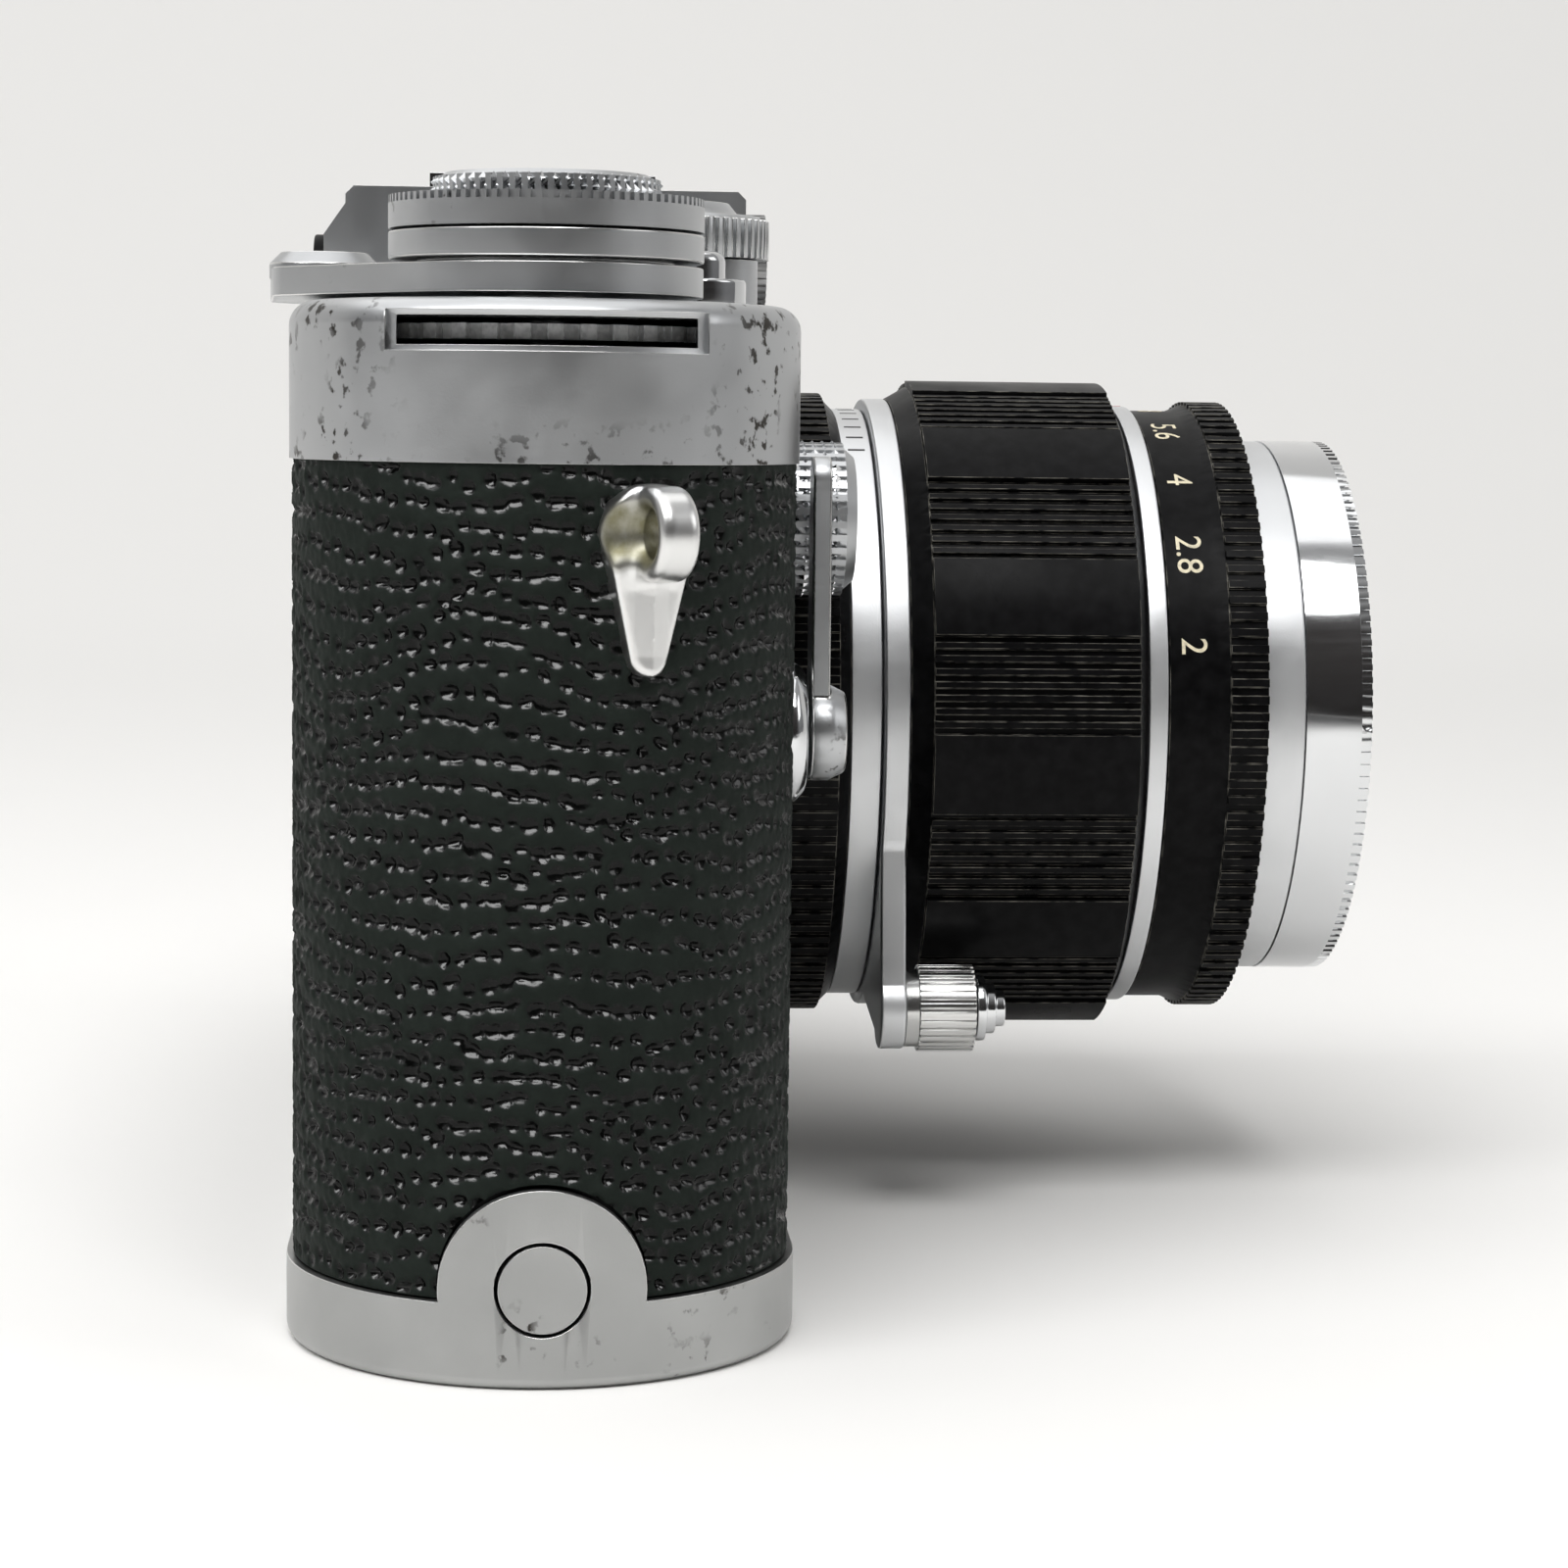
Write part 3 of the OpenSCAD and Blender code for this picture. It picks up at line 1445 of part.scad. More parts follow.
module finder_glass() {
  color([0.7, 0.8, 0.8, 0.5]) {
    for (x = [near_window_x, far_window_x])
      front(x, window_z)
        bar(bezel_glass_r, housing_front - pane_t / 2, housing_front + pane_t / 2);
    front(finder_x, window_z)
      translate([0, 0, housing_front])
        cube([
          finder_frame_w - 2 * finder_rim - 2 * seat_gap,
          finder_frame_h - 2 * finder_rim - 2 * seat_gap,
          pane_t
        ], center = true);
    for (x = [near_window_x, finder_x])
      front(x, eyepiece_z)
        bar(eyepiece_glass_r, -housing_heel - pane_t / 2, -housing_heel + pane_t / 2);
  }
}

module rangefinder_base() {
  base_l = housing_x1 - housing_x0 - 2 * housing_wall - 2 * air_gap;
  post_z = deck_z + seat_gap;
  color([0.7, 0.6, 0.35]) {
    translate([housing_x0 + housing_wall + air_gap, -housing_front + housing_wall + air_gap, ceiling_z])
      cube([base_l, housing_front + housing_back - 2 * housing_wall - 2 * air_gap, finder_plate_t]);
    for (x = [housing_x0 + finder_post_inset, housing_x1 - finder_post_inset])
      translate([x, 0, 0])
        bar(finder_post_r, post_z, ceiling_z);
  }
}

module rangefinder_optics() {
  floor_z = ceiling_z + finder_plate_t + seat_gap;
  color([0.7, 0.8, 0.85, 0.5]) {
    translate([near_window_x, 0, floor_z])
      rotate([0, 0, 45])
        translate([-optics_w / 2, -splitter_t / 2, 0])
          cube([optics_w, splitter_t, optics_h]);
    translate([far_window_x, 0, floor_z])
      linear_extrude(optics_h)
        polygon([
          [-prism_l / 2, -optics_w / 2],
          [-prism_l / 2, optics_w / 2],
          [prism_l / 2, -optics_w / 2]
        ]);
  }
}

module accessory_shoe() {
  w = shoe_w + 2 * shoe_t;
  z0 = pocket_z + seat_gap;
  rail_z = shoe_gap + 2 * shoe_t;
  color([0.78, 0.79, 0.8])
    difference() {
      translate([finder_x, shoe_l / 2, z0])
        rotate([90, 0, 0])
          linear_extrude(shoe_l)
            difference() {
              translate([-w / 2, 0])
                square([w, rail_z]);
              translate([-shoe_w / 2, shoe_t])
                square([shoe_w, shoe_gap]);
              translate([-shoe_w / 2 + shoe_lip, shoe_t])
                square([shoe_w - 2 * shoe_lip, rail_z]);
            }
      at_screws()
        screw_room();
    }
}

// Front controls

module timer_escutcheon() {
  bevel_d = timer_plate_d - timer_bevel;
  color([0.78, 0.79, 0.8])
    front(timer_x, timer_z) {
      ring(timer_plate_r, pin_r + running_gap, shell_r + seat_gap, bevel_d);
      cone_ring(timer_plate_r, timer_plate_r - timer_bevel_w, pin_r + running_gap, bevel_d, timer_plate_d);
    }
}

module timer_lever() {
  arm_d0 = timer_plate_d + face_gap * 2;
  arm_d1 = arm_d0 + timer_t;
  color([0.78, 0.79, 0.8])
    front(timer_x, timer_z) {
      bar(pin_r, inner_r - shaft_reach, arm_d0);
      translate([0, 0, arm_d0])
        linear_extrude(timer_t) {
          circle(timer_hub_r);
          translate([0, timer_arm_l])
            circle(timer_tip_r);
          polygon([
            [-timer_tip_r - timer_flare, 0],
            [timer_tip_r + timer_flare, 0],
            [timer_tip_r, timer_arm_l],
            [-timer_tip_r, timer_arm_l]
          ]);
        }
      translate([0, 0, arm_d1])
        cylinder(r1 = timer_hub_r, r2 = timer_hub_r - timer_cap_taper, h = timer_cap_t);
    }
}

module slow_dial() {
  dial_d = cover_r + air_gap;
  color([0.76, 0.77, 0.78])
    front(slow_x, slow_z) {
      bar(pin_r, inner_r - shaft_reach, dial_d);
      bar(slow_r - slow_foot_inset, dial_d, dial_d + slow_foot);
      ribbed(slow_r, slow_ribs, slow_rib, dial_d + slow_foot, slow_d - slow_foot);
      translate([0, 0, slow_d - slow_foot])
        cylinder(r1 = slow_r - slow_rib, r2 = slow_r - slow_taper, h = slow_foot);
    }
}

// Lens

module lens_base() {
  low_r = base_ring_r - fine_rib;
  color([0.07, 0.07, 0.07])
    front()
      difference() {
        union() {
          bar(tail_r, tail_d, base_ring_d0);
          ribbed(base_ring_r, fine_ribs, fine_rib, base_ring_d0, base_ring_d1 - base_ring_bevel);
          translate([0, 0, base_ring_d1 - base_ring_bevel])
            cylinder(r1 = low_r, r2 = low_r - base_ring_bevel, h = base_ring_bevel);
          bar(sleeve_r, base_ring_d1, lock_d1 - face_gap);
        }
        bar(guide_bore, tail_d - cut, lock_d1 + cut);
      }
}

module scale_ring() {
  color([0.75, 0.76, 0.77])
    front()
      ring(scale_ring_r, sleeve_r + seat_gap, scale_d0, scale_d1);
}

// Plate behind the focus ring, with an ear that carries the infinity lock's knob
module lock_arm() {
  ear_r = lock_knob_r - ear_inset;
  color([0.78, 0.79, 0.8])
    front()
      rotate([0, 0, lock_angle])
        difference() {
          union() {
            bar(lock_ring_r, lock_d0, lock_d1);
            translate([lock_reach, 0, 0])
              bar(ear_r, lock_d0, lock_d1);
            translate([0, 0, lock_d0])
              linear_extrude(lock_ring_t)
                polygon([
                  polar(lock_ring_r - cut, ear_spread),
                  [lock_reach, ear_r - cut_in],
                  [lock_reach, cut_in - ear_r],
                  polar(lock_ring_r - cut, -ear_spread)
                ]);
          }
          bar(sleeve_r + running_gap, lock_d0 - cut, lock_d1 + cut);
        }
}

// Places the children on the infinity lock's axis
module at_lock() {
  front()
    rotate([0, 0, lock_angle])
      translate([lock_reach, 0, lock_d1 + seat_gap])
        children();
}

plunger_r = lock_knob_r - lock_wall;
stem_r = plunger_r / 2;

module lock_knob() {
  color([0.8, 0.81, 0.82])
    at_lock()
      difference() {
        union() {
          bar(lock_knob_r - lock_neck_inset, 0, lock_neck);
          ribbed(lock_knob_r, lock_ribs, lock_rib, lock_neck, lock_knob_l);
        }
        bar(stem_r + running_gap, -cut, lock_knob_l + cut);
        bar(plunger_r + running_gap, lock_knob_l - plunger_travel - air_gap, lock_knob_l + cut);
      }
}

module lock_plunger() {
  z0 = lock_knob_l + face_gap;
  color([0.8, 0.81, 0.82])
    at_lock() {
      bar(stem_r, lock_neck + plunger_travel, z0);
      for (i = [0:2])
        bar(plunger_r * (1 - i * plunger_taper), z0 + i * plunger_step, z0 + (i + 1) * plunger_step);
    }
}

// Outline of the focus ring's grip: smooth panels with groups of fine ribs between them
function grip_outline() = [
  for (i = [0:panel_count - 1])
    let (
      start = panel_phase + i * 360 / panel_count - panel_angle / 2,
      room = 360 / panel_count - panel_angle,
      pitch = room / (rib_count + 0.5)
    )
      each concat(
        [for (k = [0:4]) polar(focus_r, start + k * panel_angle / 4)],
        [
          for (k = [0:rib_count - 1])
            each [
              polar(focus_r - rib_drop - rib_depth, start + panel_angle + k * pitch),
              polar(focus_r - rib_drop - rib_depth, start + panel_angle + (k + 0.5) * pitch),
              polar(focus_r - rib_drop, start + panel_angle + (k + 0.5) * pitch),
              polar(focus_r - rib_drop, start + panel_angle + (k + 1) * pitch)
            ]
        ],
        [
          polar(focus_r - rib_drop - rib_depth, start + panel_angle + rib_count * pitch),
          polar(focus_r - rib_drop - rib_depth, start + panel_angle + room)
        ]
      )
];

// Point at a radius and an angle
function polar(r, a) = [r * cos(a), r * sin(a)];

module focus_ring() {
  low_r = focus_r - rib_drop - rib_depth;
  color([0.06, 0.06, 0.06])
    front()
      difference() {
        union() {
          translate([0, 0, focus_d0])
            cylinder(r1 = lock_ring_r, r2 = low_r, h = focus_rear);
          translate([0, 0, focus_d0 + focus_rear])
            linear_extrude(focus_l - focus_rear - focus_bevel)
              polygon(grip_outline());
          translate([0, 0, focus_d1 - focus_bevel])
            cylinder(r1 = low_r, r2 = index_r, h = focus_bevel);
        }
        bar(barrel_bore, focus_d0 - cut, focus_d1 + cut);
      }
}

module lens_barrel() {
  seat_r = front_glass_r + seat_gap;
  rear_r = rear_glass_r + seat_gap;
  color([0.08, 0.08, 0.08])
    front()
      difference() {
        union() {
          bar(guide_r, barrel_rear, shoulder_d);
          bar(barrel_r, shoulder_d, barrel_front);
        }
        bar(rear_r + rear_step, barrel_rear - cut, base_ring_d1);
        bar(rear_r, barrel_rear - cut, iris_d0 + cut);
        bar(iris_room_r, iris_d0, iris_d1);
        bar(seat_r, iris_d1 - cut, barrel_front + cut);
      }
}

module index_ring() {
  color([0.78, 0.79, 0.8])
    front()
      ring(index_r, barrel_r + seat_gap, index_d0, index_d1);
}

module aperture_ring() {
  color([0.07, 0.07, 0.07])
    front()
      difference() {
        union() {
          bar(band_r, band_d0, grip_d0);
          translate([0, 0, grip_d0])
            cylinder(r1 = band_r, r2 = grip_r - fine_rib, h = grip_slope);
          ribbed(grip_r, fine_ribs, fine_rib, grip_d0 + grip_slope, grip_d1);
        }
        bar(barrel_bore, band_d0 - cut, grip_d1 + cut);
      }
}

module front_ring() {
  color([0.78, 0.79, 0.8])
    front()
      difference() {
        bar(front_r, front_d0, front_d1);
        bar(front_glass_r + seat_gap, front_d0 - cut, front_d1);
        bar(front_thread_r, front_d0 + front_web, front_d1 + cut);
      }
}

module filter_ring() {
  thread_d = filter_d0 - filter_thread_l;
  knurl_d = filter_d1 - filter_knurl_l;
  color([0.85, 0.86, 0.87])
    front()
      difference() {
        union() {
          bar(front_thread_r - 2 * seat_gap, thread_d, filter_d0);
          bar(filter_r, filter_d0, knurl_d);
          ribbed(filter_r - cut_in, filter_notches, filter_notch, knurl_d, filter_d1);
        }
        bar(filter_glass_r - filter_lip, thread_d - cut, filter_d1 + cut);
        bar(filter_glass_r + seat_gap, filter_seat_d - seat_gap, filter_d1 + cut);
      }
}

module filter_glass() {
  color([0.8, 0.85, 0.85, 0.4])
    front()
      bar(filter_glass_r, filter_seat_d, filter_seat_d + filter_glass_t);
}

module front_element() {
  vertex = barrel_front - front_sink;
  color([0.6, 0.65, 0.8, 0.5])
    front()
      intersection() {
        bar(front_glass_r, iris_d1 + face_gap, vertex + cut);
        translate([0, 0, vertex - front_curve_r])
          sphere(front_curve_r);
      }
}

module rear_element() {
  vertex = base_ring_d1 - rear_sink;
  color([0.6, 0.65, 0.8, 0.5])
    front()
      intersection() {
        bar(rear_glass_r, vertex - cut, iris_d0 - face_gap);
        translate([0, 0, vertex + rear_curve_r])
          sphere(rear_curve_r);
      }
}

// One iris blade: part of a ring, turned about its pivot to the resting stop
module iris_blade(index) {
  z0 = iris_d0 + air_gap + index * blade_pitch;
  reach = 3 * blade_outer_r;
  color([0.15, 0.15, 0.16])
    front()
      rotate([0, 0, index * 60])
        translate([blade_pivot_r, 0, z0])
          rotate([0, 0, blade_rest])
            translate([-blade_pivot_r, 0, 0])
              linear_extrude(blade_t) {
                intersection() {
                  difference() {
                    circle(blade_outer_r);
                    circle(iris_open_r);
                  }
                  polygon([
                    [0, 0],
                    polar(reach, 0),
                    polar(reach, blade_angle / 2),
                    polar(reach, blade_angle)
                  ]);
                }
                translate([blade_pivot_r, 0])
                  circle(blade_eye_r);
              }
}

body_shell();
leather_cover();
top_cover();
body_screws();
strap_lugs();
base_stud();
mount_ring();
shutter_crate();
shutter_curtains();
spring_rollers();
pressure_plate();
timer_escutcheon();
release_collar();
rangefinder_bezels();
finder_frame();
eyepiece_rims();
finder_glass();
rangefinder_base();
rangefinder_optics();
accessory_shoe();
lens_base();
scale_ring();
base_plate();
tripod_bush();
lock_key();
advance_lever();
advance_shaft();
lever_cap();
reminder_dial();
reminder_knob();
take_up_spool();
sprocket();
counter_wheel();
release_button();
speed_dial();
slow_dial();
rewind_catch();
timer_lever();
rewind_knob();
rewind_shaft();
curtain_drum();
roller_arm();
focus_ring();
lock_arm();
lock_knob();
lock_plunger();
lens_barrel();
index_ring();
aperture_ring();
front_ring();
filter_ring();
filter_glass();
front_element();
rear_element();
iris_blade(0);  // iris_blade_1
iris_blade(1);  // iris_blade_2
iris_blade(2);  // iris_blade_3
iris_blade(3);  // iris_blade_4
iris_blade(4);  // iris_blade_5
iris_blade(5);  // iris_blade_6
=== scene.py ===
"""Rangefinder camera, dressed for looks: bevelled metal, grained leather, knurls, figures and a studio."""
import json
import math
import random

import bmesh
import bpy
import numpy as np
from mathutils import Matrix, Vector, noise


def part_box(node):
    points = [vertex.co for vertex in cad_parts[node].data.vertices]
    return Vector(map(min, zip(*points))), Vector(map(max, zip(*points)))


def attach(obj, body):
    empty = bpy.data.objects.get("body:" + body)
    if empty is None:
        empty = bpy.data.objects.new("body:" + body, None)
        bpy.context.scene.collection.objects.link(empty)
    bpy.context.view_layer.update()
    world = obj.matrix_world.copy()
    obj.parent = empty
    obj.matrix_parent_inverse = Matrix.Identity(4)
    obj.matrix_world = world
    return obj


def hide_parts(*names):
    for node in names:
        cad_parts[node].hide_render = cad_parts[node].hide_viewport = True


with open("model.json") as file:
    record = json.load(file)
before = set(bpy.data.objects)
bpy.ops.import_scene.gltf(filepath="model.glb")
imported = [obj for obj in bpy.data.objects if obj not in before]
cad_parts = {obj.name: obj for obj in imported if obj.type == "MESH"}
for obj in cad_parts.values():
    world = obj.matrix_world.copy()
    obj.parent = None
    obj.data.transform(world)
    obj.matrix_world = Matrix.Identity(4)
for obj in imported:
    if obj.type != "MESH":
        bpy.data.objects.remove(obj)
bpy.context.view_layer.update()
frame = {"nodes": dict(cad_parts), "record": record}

MM = 0.001
NODES = frame["nodes"]
RECORD = frame["record"]
BODY_OF = {node: body for body, nodes in RECORD["behaviour"]["bodies"].items() for node in nodes}
SLOT_OF = {part["node"]: part["material_slot"] for part in RECORD["subparts"]}

# Sizes taken from the frame, in metres


def middle(node):
    """Centre of a node's box."""
    low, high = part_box(node)
    return (Vector(low) + Vector(high)) / 2


def reach(node, axis):
    """Half of a node's box along one axis."""
    low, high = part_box(node)
    return (high[axis] - low[axis]) / 2


LENS_Z = middle("focus_ring").z
HUB = middle("advance_shaft")
END_X = -HUB.x
LEATHER_R = reach("leather_cover", 1)
LEATHER_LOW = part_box("leather_cover")[0][2]
LEATHER_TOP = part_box("leather_cover")[1][2]


# Shader helpers


def add(tree, kind, links=None, **props):
    """A node with its properties set and its inputs set or linked."""
    made = tree.nodes.new(kind)
    for key, value in props.items():
        setattr(made, key, value)
    for key, value in (links or {}).items():
        if isinstance(value, bpy.types.NodeSocket):
            tree.links.new(value, made.inputs[key])
        else:
            made.inputs[key].default_value = value
    return made


def ramp(tree, factor, stops):
    """Colour ramp from (place, grey or colour) pairs."""
    made = add(tree, "ShaderNodeValToRGB", {"Fac": factor})
    points = made.color_ramp.elements
    while len(points) < len(stops):
        points.new(0.5)
    for point, (place, value) in zip(points, stops):
        point.position = place
        grey = isinstance(value, (int, float))
        point.color = (value, value, value, 1) if grey else (*value, 1)
    return made.outputs["Color"]


def maths(tree, operation, a, b=0.0):
    """One arithmetic step."""
    made = add(tree, "ShaderNodeMath", {0: a, 1: b}, operation=operation)
    return made.outputs[0]


def blend(tree, factor, a, b):
    """Mix of two colours."""
    made = add(tree, "ShaderNodeMix", {"Factor": factor}, data_type="RGBA")
    for place, value in ((6, a), (7, b)):
        if isinstance(value, bpy.types.NodeSocket):
            tree.links.new(value, made.inputs[place])
        else:
            made.inputs[place].default_value = (*value, 1)
    return made.outputs[2]


def new_finish(name):
    """Empty material with its shader: (material, tree, shader, object coordinates)."""
    material = bpy.data.materials.new(name)
    material.use_nodes = True
    tree = material.node_tree
    shader = tree.nodes["Principled BSDF"]
    place = add(tree, "ShaderNodeTexCoord").outputs["Object"]
    return material, tree, shader, place


def speckle(tree, place, scale, detail=3.0):
    """Noise over the surface."""
    settings = {"Vector": place, "Scale": scale, "Detail": detail}
    return add(tree, "ShaderNodeTexNoise", settings).outputs["Fac"]


def relief(tree, shader, height, strength, depth):
    """Bump on a shader."""
    made = add(tree, "ShaderNodeBump", {"Height": height, "Strength": strength, "Distance": depth})
    tree.links.new(made.outputs["Normal"], shader.inputs["Normal"])


def link(tree, output, shader, name):
    """Joins an output to one of the shader's inputs."""
    tree.links.new(output, shader.inputs[name])


# Finishes


def flank_mask(tree, place):
    """Where hands rub a cover: round its two ends, beside the middle, and along its lower edge."""
    split = add(tree, "ShaderNodeSeparateXYZ", {0: place}).outputs
    depth = maths(tree, "MULTIPLY", maths(tree, "ABSOLUTE", split["Y"]), 50.0)
    flank = ramp(tree, depth, [(0.4, 0.0), (0.65, 1.0)])
    foot = ramp(tree, maths(tree, "MULTIPLY", maths(tree, "SUBTRACT", split["Z"], LEATHER_TOP), 100.0),
                [(0.05, 0.8), (0.3, 0.0)])
    ends = ramp(tree, maths(tree, "MULTIPLY", maths(tree, "ABSOLUTE", split["X"]), 10.0),
                [(0.42, 0.0), (0.58, 1.0)])
    return maths(tree, "MULTIPLY", ends, maths(tree, "MAXIMUM", flank, foot))


def satin_metal(name, colour, smooth, rough, pits=0.0, flanks=False):
    """Satin plated metal with a fine grain, handling marks and, where worn, dark pits."""
    material, tree, shader, place = new_finish(name)
    shader.inputs["Metallic"].default_value = 1
    marks = speckle(tree, place, 160, 5)
    link(tree, ramp(tree, marks, [(0.3, smooth), (0.7, rough)]), shader, "Roughness")
    stain = ramp(tree, speckle(tree, place, 45, 4), [(0.35, 0.86), (0.65, 1.0)])
    tone = blend(tree, 1.0, colour, stain)
    tone.node.blend_type = "MULTIPLY"
    if pits:
        spot = ramp(tree, speckle(tree, place, 1000, 5), [(0.575, 0), (0.63, 1)])
        cluster = ramp(tree, speckle(tree, place, 130, 6), [(0.62 - pits, 0), (0.7 - pits, 1)])
        pit = maths(tree, "MULTIPLY", spot, cluster)
        if flanks:
            pit = maths(tree, "MULTIPLY", pit, flank_mask(tree, place))
        tone = blend(tree, pit, tone, (0.05, 0.045, 0.04))
    link(tree, tone, shader, "Base Color")
    relief(tree, shader, speckle(tree, place, 7000, 2), 0.25, 0.00002)
    return material


def bright_metal(name, colour, smooth, rough):
    """Polished plated metal with faint wiping marks."""
    material, tree, shader, place = new_finish(name)
    shader.inputs["Metallic"].default_value = 1
    stretched = add(tree, "ShaderNodeMapping", {"Vector": place, "Scale": (1, 1, 6)}).outputs["Vector"]
    marks = speckle(tree, stretched, 220, 5)
    link(tree, ramp(tree, marks, [(0.3, smooth), (0.7, rough)]), shader, "Roughness")
    link(tree, ramp(tree, speckle(tree, place, 60), [(0.3, [c * 0.9 for c in colour]), (0.7, colour)]),
         shader, "Base Color")
    return material


def tarnished_metal():
    """Polished cast metal that is tarnished olive where its hollow attribute says so."""
    material, tree, shader, place = new_finish("cast_chrome")
    shader.inputs["Metallic"].default_value = 1
    hollow = add(tree, "ShaderNodeAttribute", attribute_name="hollow").outputs["Fac"]
    mottle = ramp(tree, speckle(tree, place, 900, 4), [(0.3, 0.75), (0.6, 1.0)])
    stain = maths(tree, "MULTIPLY", hollow, mottle)
    link(tree, blend(tree, stain, (0.78, 0.78, 0.77), (0.2, 0.19, 0.12)), shader, "Base Color")
    link(tree, ramp(tree, stain, [(0.0, 0.3), (1.0, 0.45)]), shader, "Roughness")
    return material


def black_enamel(name, bare=None, wear=0.5):
    """Black lacquer, and where a bare metal is given, lacquer that is rubbed through to it."""
    material, tree, shader, place = new_finish(name)
    shader.inputs["Specular IOR Level"].default_value = 0.07
    dust = speckle(tree, place, 900, 6)
    coat = ramp(tree, dust, [(0.35, (0.0022, 0.0022, 0.0024)), (0.8, (0.0075, 0.0075, 0.008))])
    rough = ramp(tree, speckle(tree, place, 140, 5), [(0.3, 0.26), (0.7, 0.42)])
    if bare:
        worn = ramp(tree, speckle(tree, place, 800, 6), [(wear, 0), (wear + 0.28, 1)])
        coat = blend(tree, worn, coat, bare)
        link(tree, maths(tree, "MULTIPLY", worn, 0.3), shader, "Metallic")
    link(tree, coat, shader, "Base Color")
    link(tree, rough, shader, "Roughness")
    relief(tree, shader, speckle(tree, place, 5000, 2), 0.12, 0.00002)
    return material


def grained_leather():
    """Black leather with a grey-green bloom; its pits carry painted shade, darker than the bloom, and are
    glossy on the walls that face up.
    """
    material, tree, shader, place = new_finish("grained_leather")
    pit = add(tree, "ShaderNodeAttribute", attribute_name="pit").outputs["Fac"]
    sunk = ramp(tree, pit, [(0.1, 0.0), (0.6, 1.0)])
    bloom = ramp(tree, speckle(tree, place, 420, 5),
                 [(0.3, (0.004, 0.0075, 0.0052)), (0.75, (0.0095, 0.0145, 0.0112))])
    # Painted shade: the deeper a point lies in a pit, the nearer its colour goes to near-black
    link(tree, blend(tree, sunk, bloom, (0.0015, 0.0018, 0.0016)), shader, "Base Color")
    link(tree, ramp(tree, sunk, [(0.0, 0.7), (1.0, 0.2)]), shader, "Roughness")
    shader.inputs["Specular IOR Level"].default_value = 0.2
    wall = add(tree, "ShaderNodeAttribute", attribute_name="upward_wall").outputs["Fac"]
    gleam = maths(tree, "MULTIPLY", ramp(tree, pit, [(0.15, 0.0), (0.5, 0.65)]),
                  ramp(tree, wall, [(0.1, 0.0), (0.5, 1.0)]))
    link(tree, gleam, shader, "Coat Weight")
    shader.inputs["Coat Roughness"].default_value = 0.14
    shader.inputs["Coat IOR"].default_value = 1.6
    relief(tree, shader, speckle(tree, place, 3600, 4), 0.5, 0.00005)
    return material


def clear_glass(name, tint, sheen, bend):
    """Optical glass whose coating tints what it mirrors."""
    material, tree, shader, place = new_finish(name)
    shader.inputs["Base Color"].default_value = (*tint, 1)
    shader.inputs["Transmission Weight"].default_value = 1
    shader.inputs["IOR"].default_value = bend
    shader.inputs["Specular Tint"].default_value = (*sheen, 1)
    link(tree, ramp(tree, speckle(tree, place, 300), [(0.45, 0.0), (0.75, 0.04)]), shader, "Roughness")
    return material


def painted(name, colour):
    """Filled-in figures and lines."""
    material, tree, shader, place = new_finish(name)
    link(tree, ramp(tree, speckle(tree, place, 2500, 4), [(0.3, [c * 0.7 for c in colour]), (0.6, colour)]),
         shader, "Base Color")
    shader.inputs["Roughness"].default_value = 0.5
    return material


def shutter_cloth():
    """Rubberised black cloth with a fine weave."""
    material, tree, shader, place = new_finish("shutter_cloth")
    threads = {"Vector": place, "Scale": 900.0}
    weave = add(tree, "ShaderNodeTexWave", threads, bands_direction="Z").outputs["Fac"]
    link(tree, ramp(tree, weave, [(0.2, 0.006), (0.8, 0.016)]), shader, "Base Color")
    shader.inputs["Roughness"].default_value = 0.8
    relief(tree, shader, weave, 0.3, 0.00005)
    return material


SILVER = (0.56, 0.57, 0.58)
SATIN = satin_metal("satin_chrome", SILVER, 0.3, 0.42, pits=0.02)
PITTED = satin_metal("pitted_chrome", SILVER, 0.28, 0.42, pits=0.19, flanks=True)
DULL = satin_metal("dull_chrome", (0.46, 0.465, 0.46), 0.32, 0.46, pits=0.02)
FROSTED = satin_metal("frosted_ring", (0.78, 0.79, 0.8), 0.34, 0.48)
BRIGHT = bright_metal("bright_chrome", (0.78, 0.79, 0.8), 0.06, 0.14)
RUBBED = bright_metal("rubbed_edge", (0.74, 0.74, 0.73), 0.16, 0.26)
BLACK = black_enamel("black_enamel")
WORN_EDGE = black_enamel("worn_enamel_edge", bare=(0.17, 0.162, 0.14), wear=0.4)
CAST = black_enamel("cast_black")
LUG = tarnished_metal()
LEATHER = grained_leather()
GLASS = clear_glass("window_glass", (0.9, 0.95, 0.95), (1, 1, 1), 1.52)
COATED = clear_glass("coated_glass", (0.8, 0.82, 0.95), (0.7, 0.5, 1.0), 1.75)
IVORY = painted("ivory_figures", (0.8, 0.72, 0.52))
INK = painted("black_figures", (0.02, 0.02, 0.02))
RED = painted("red_mark", (0.5, 0.03, 0.02))
ENAMEL = painted("grey_enamel", (0.85, 0.85, 0.84))
CLOTH = shutter_cloth()
STEEL = satin_metal("plain_steel", (0.5, 0.5, 0.5), 0.3, 0.45)
BLUED = satin_metal("blued_steel", (0.06, 0.06, 0.07), 0.35, 0.5)
BRASS = satin_metal("plain_brass", (0.72, 0.55, 0.26), 0.3, 0.45)

FINISH_OF_SLOT = {
    "satin_chrome": SATIN, "bright_chrome": BRIGHT, "cast_body": CAST, "leather": LEATHER,
    "black_paint": BLACK, "shutter_cloth": CLOTH, "steel": STEEL, "brass": BRASS, "glass": GLASS,
}


def dress(node, material):
    """Gives a carried-over node its finish."""
    mesh = NODES[node].data
    mesh.materials.clear()
    mesh.materials.append(material)


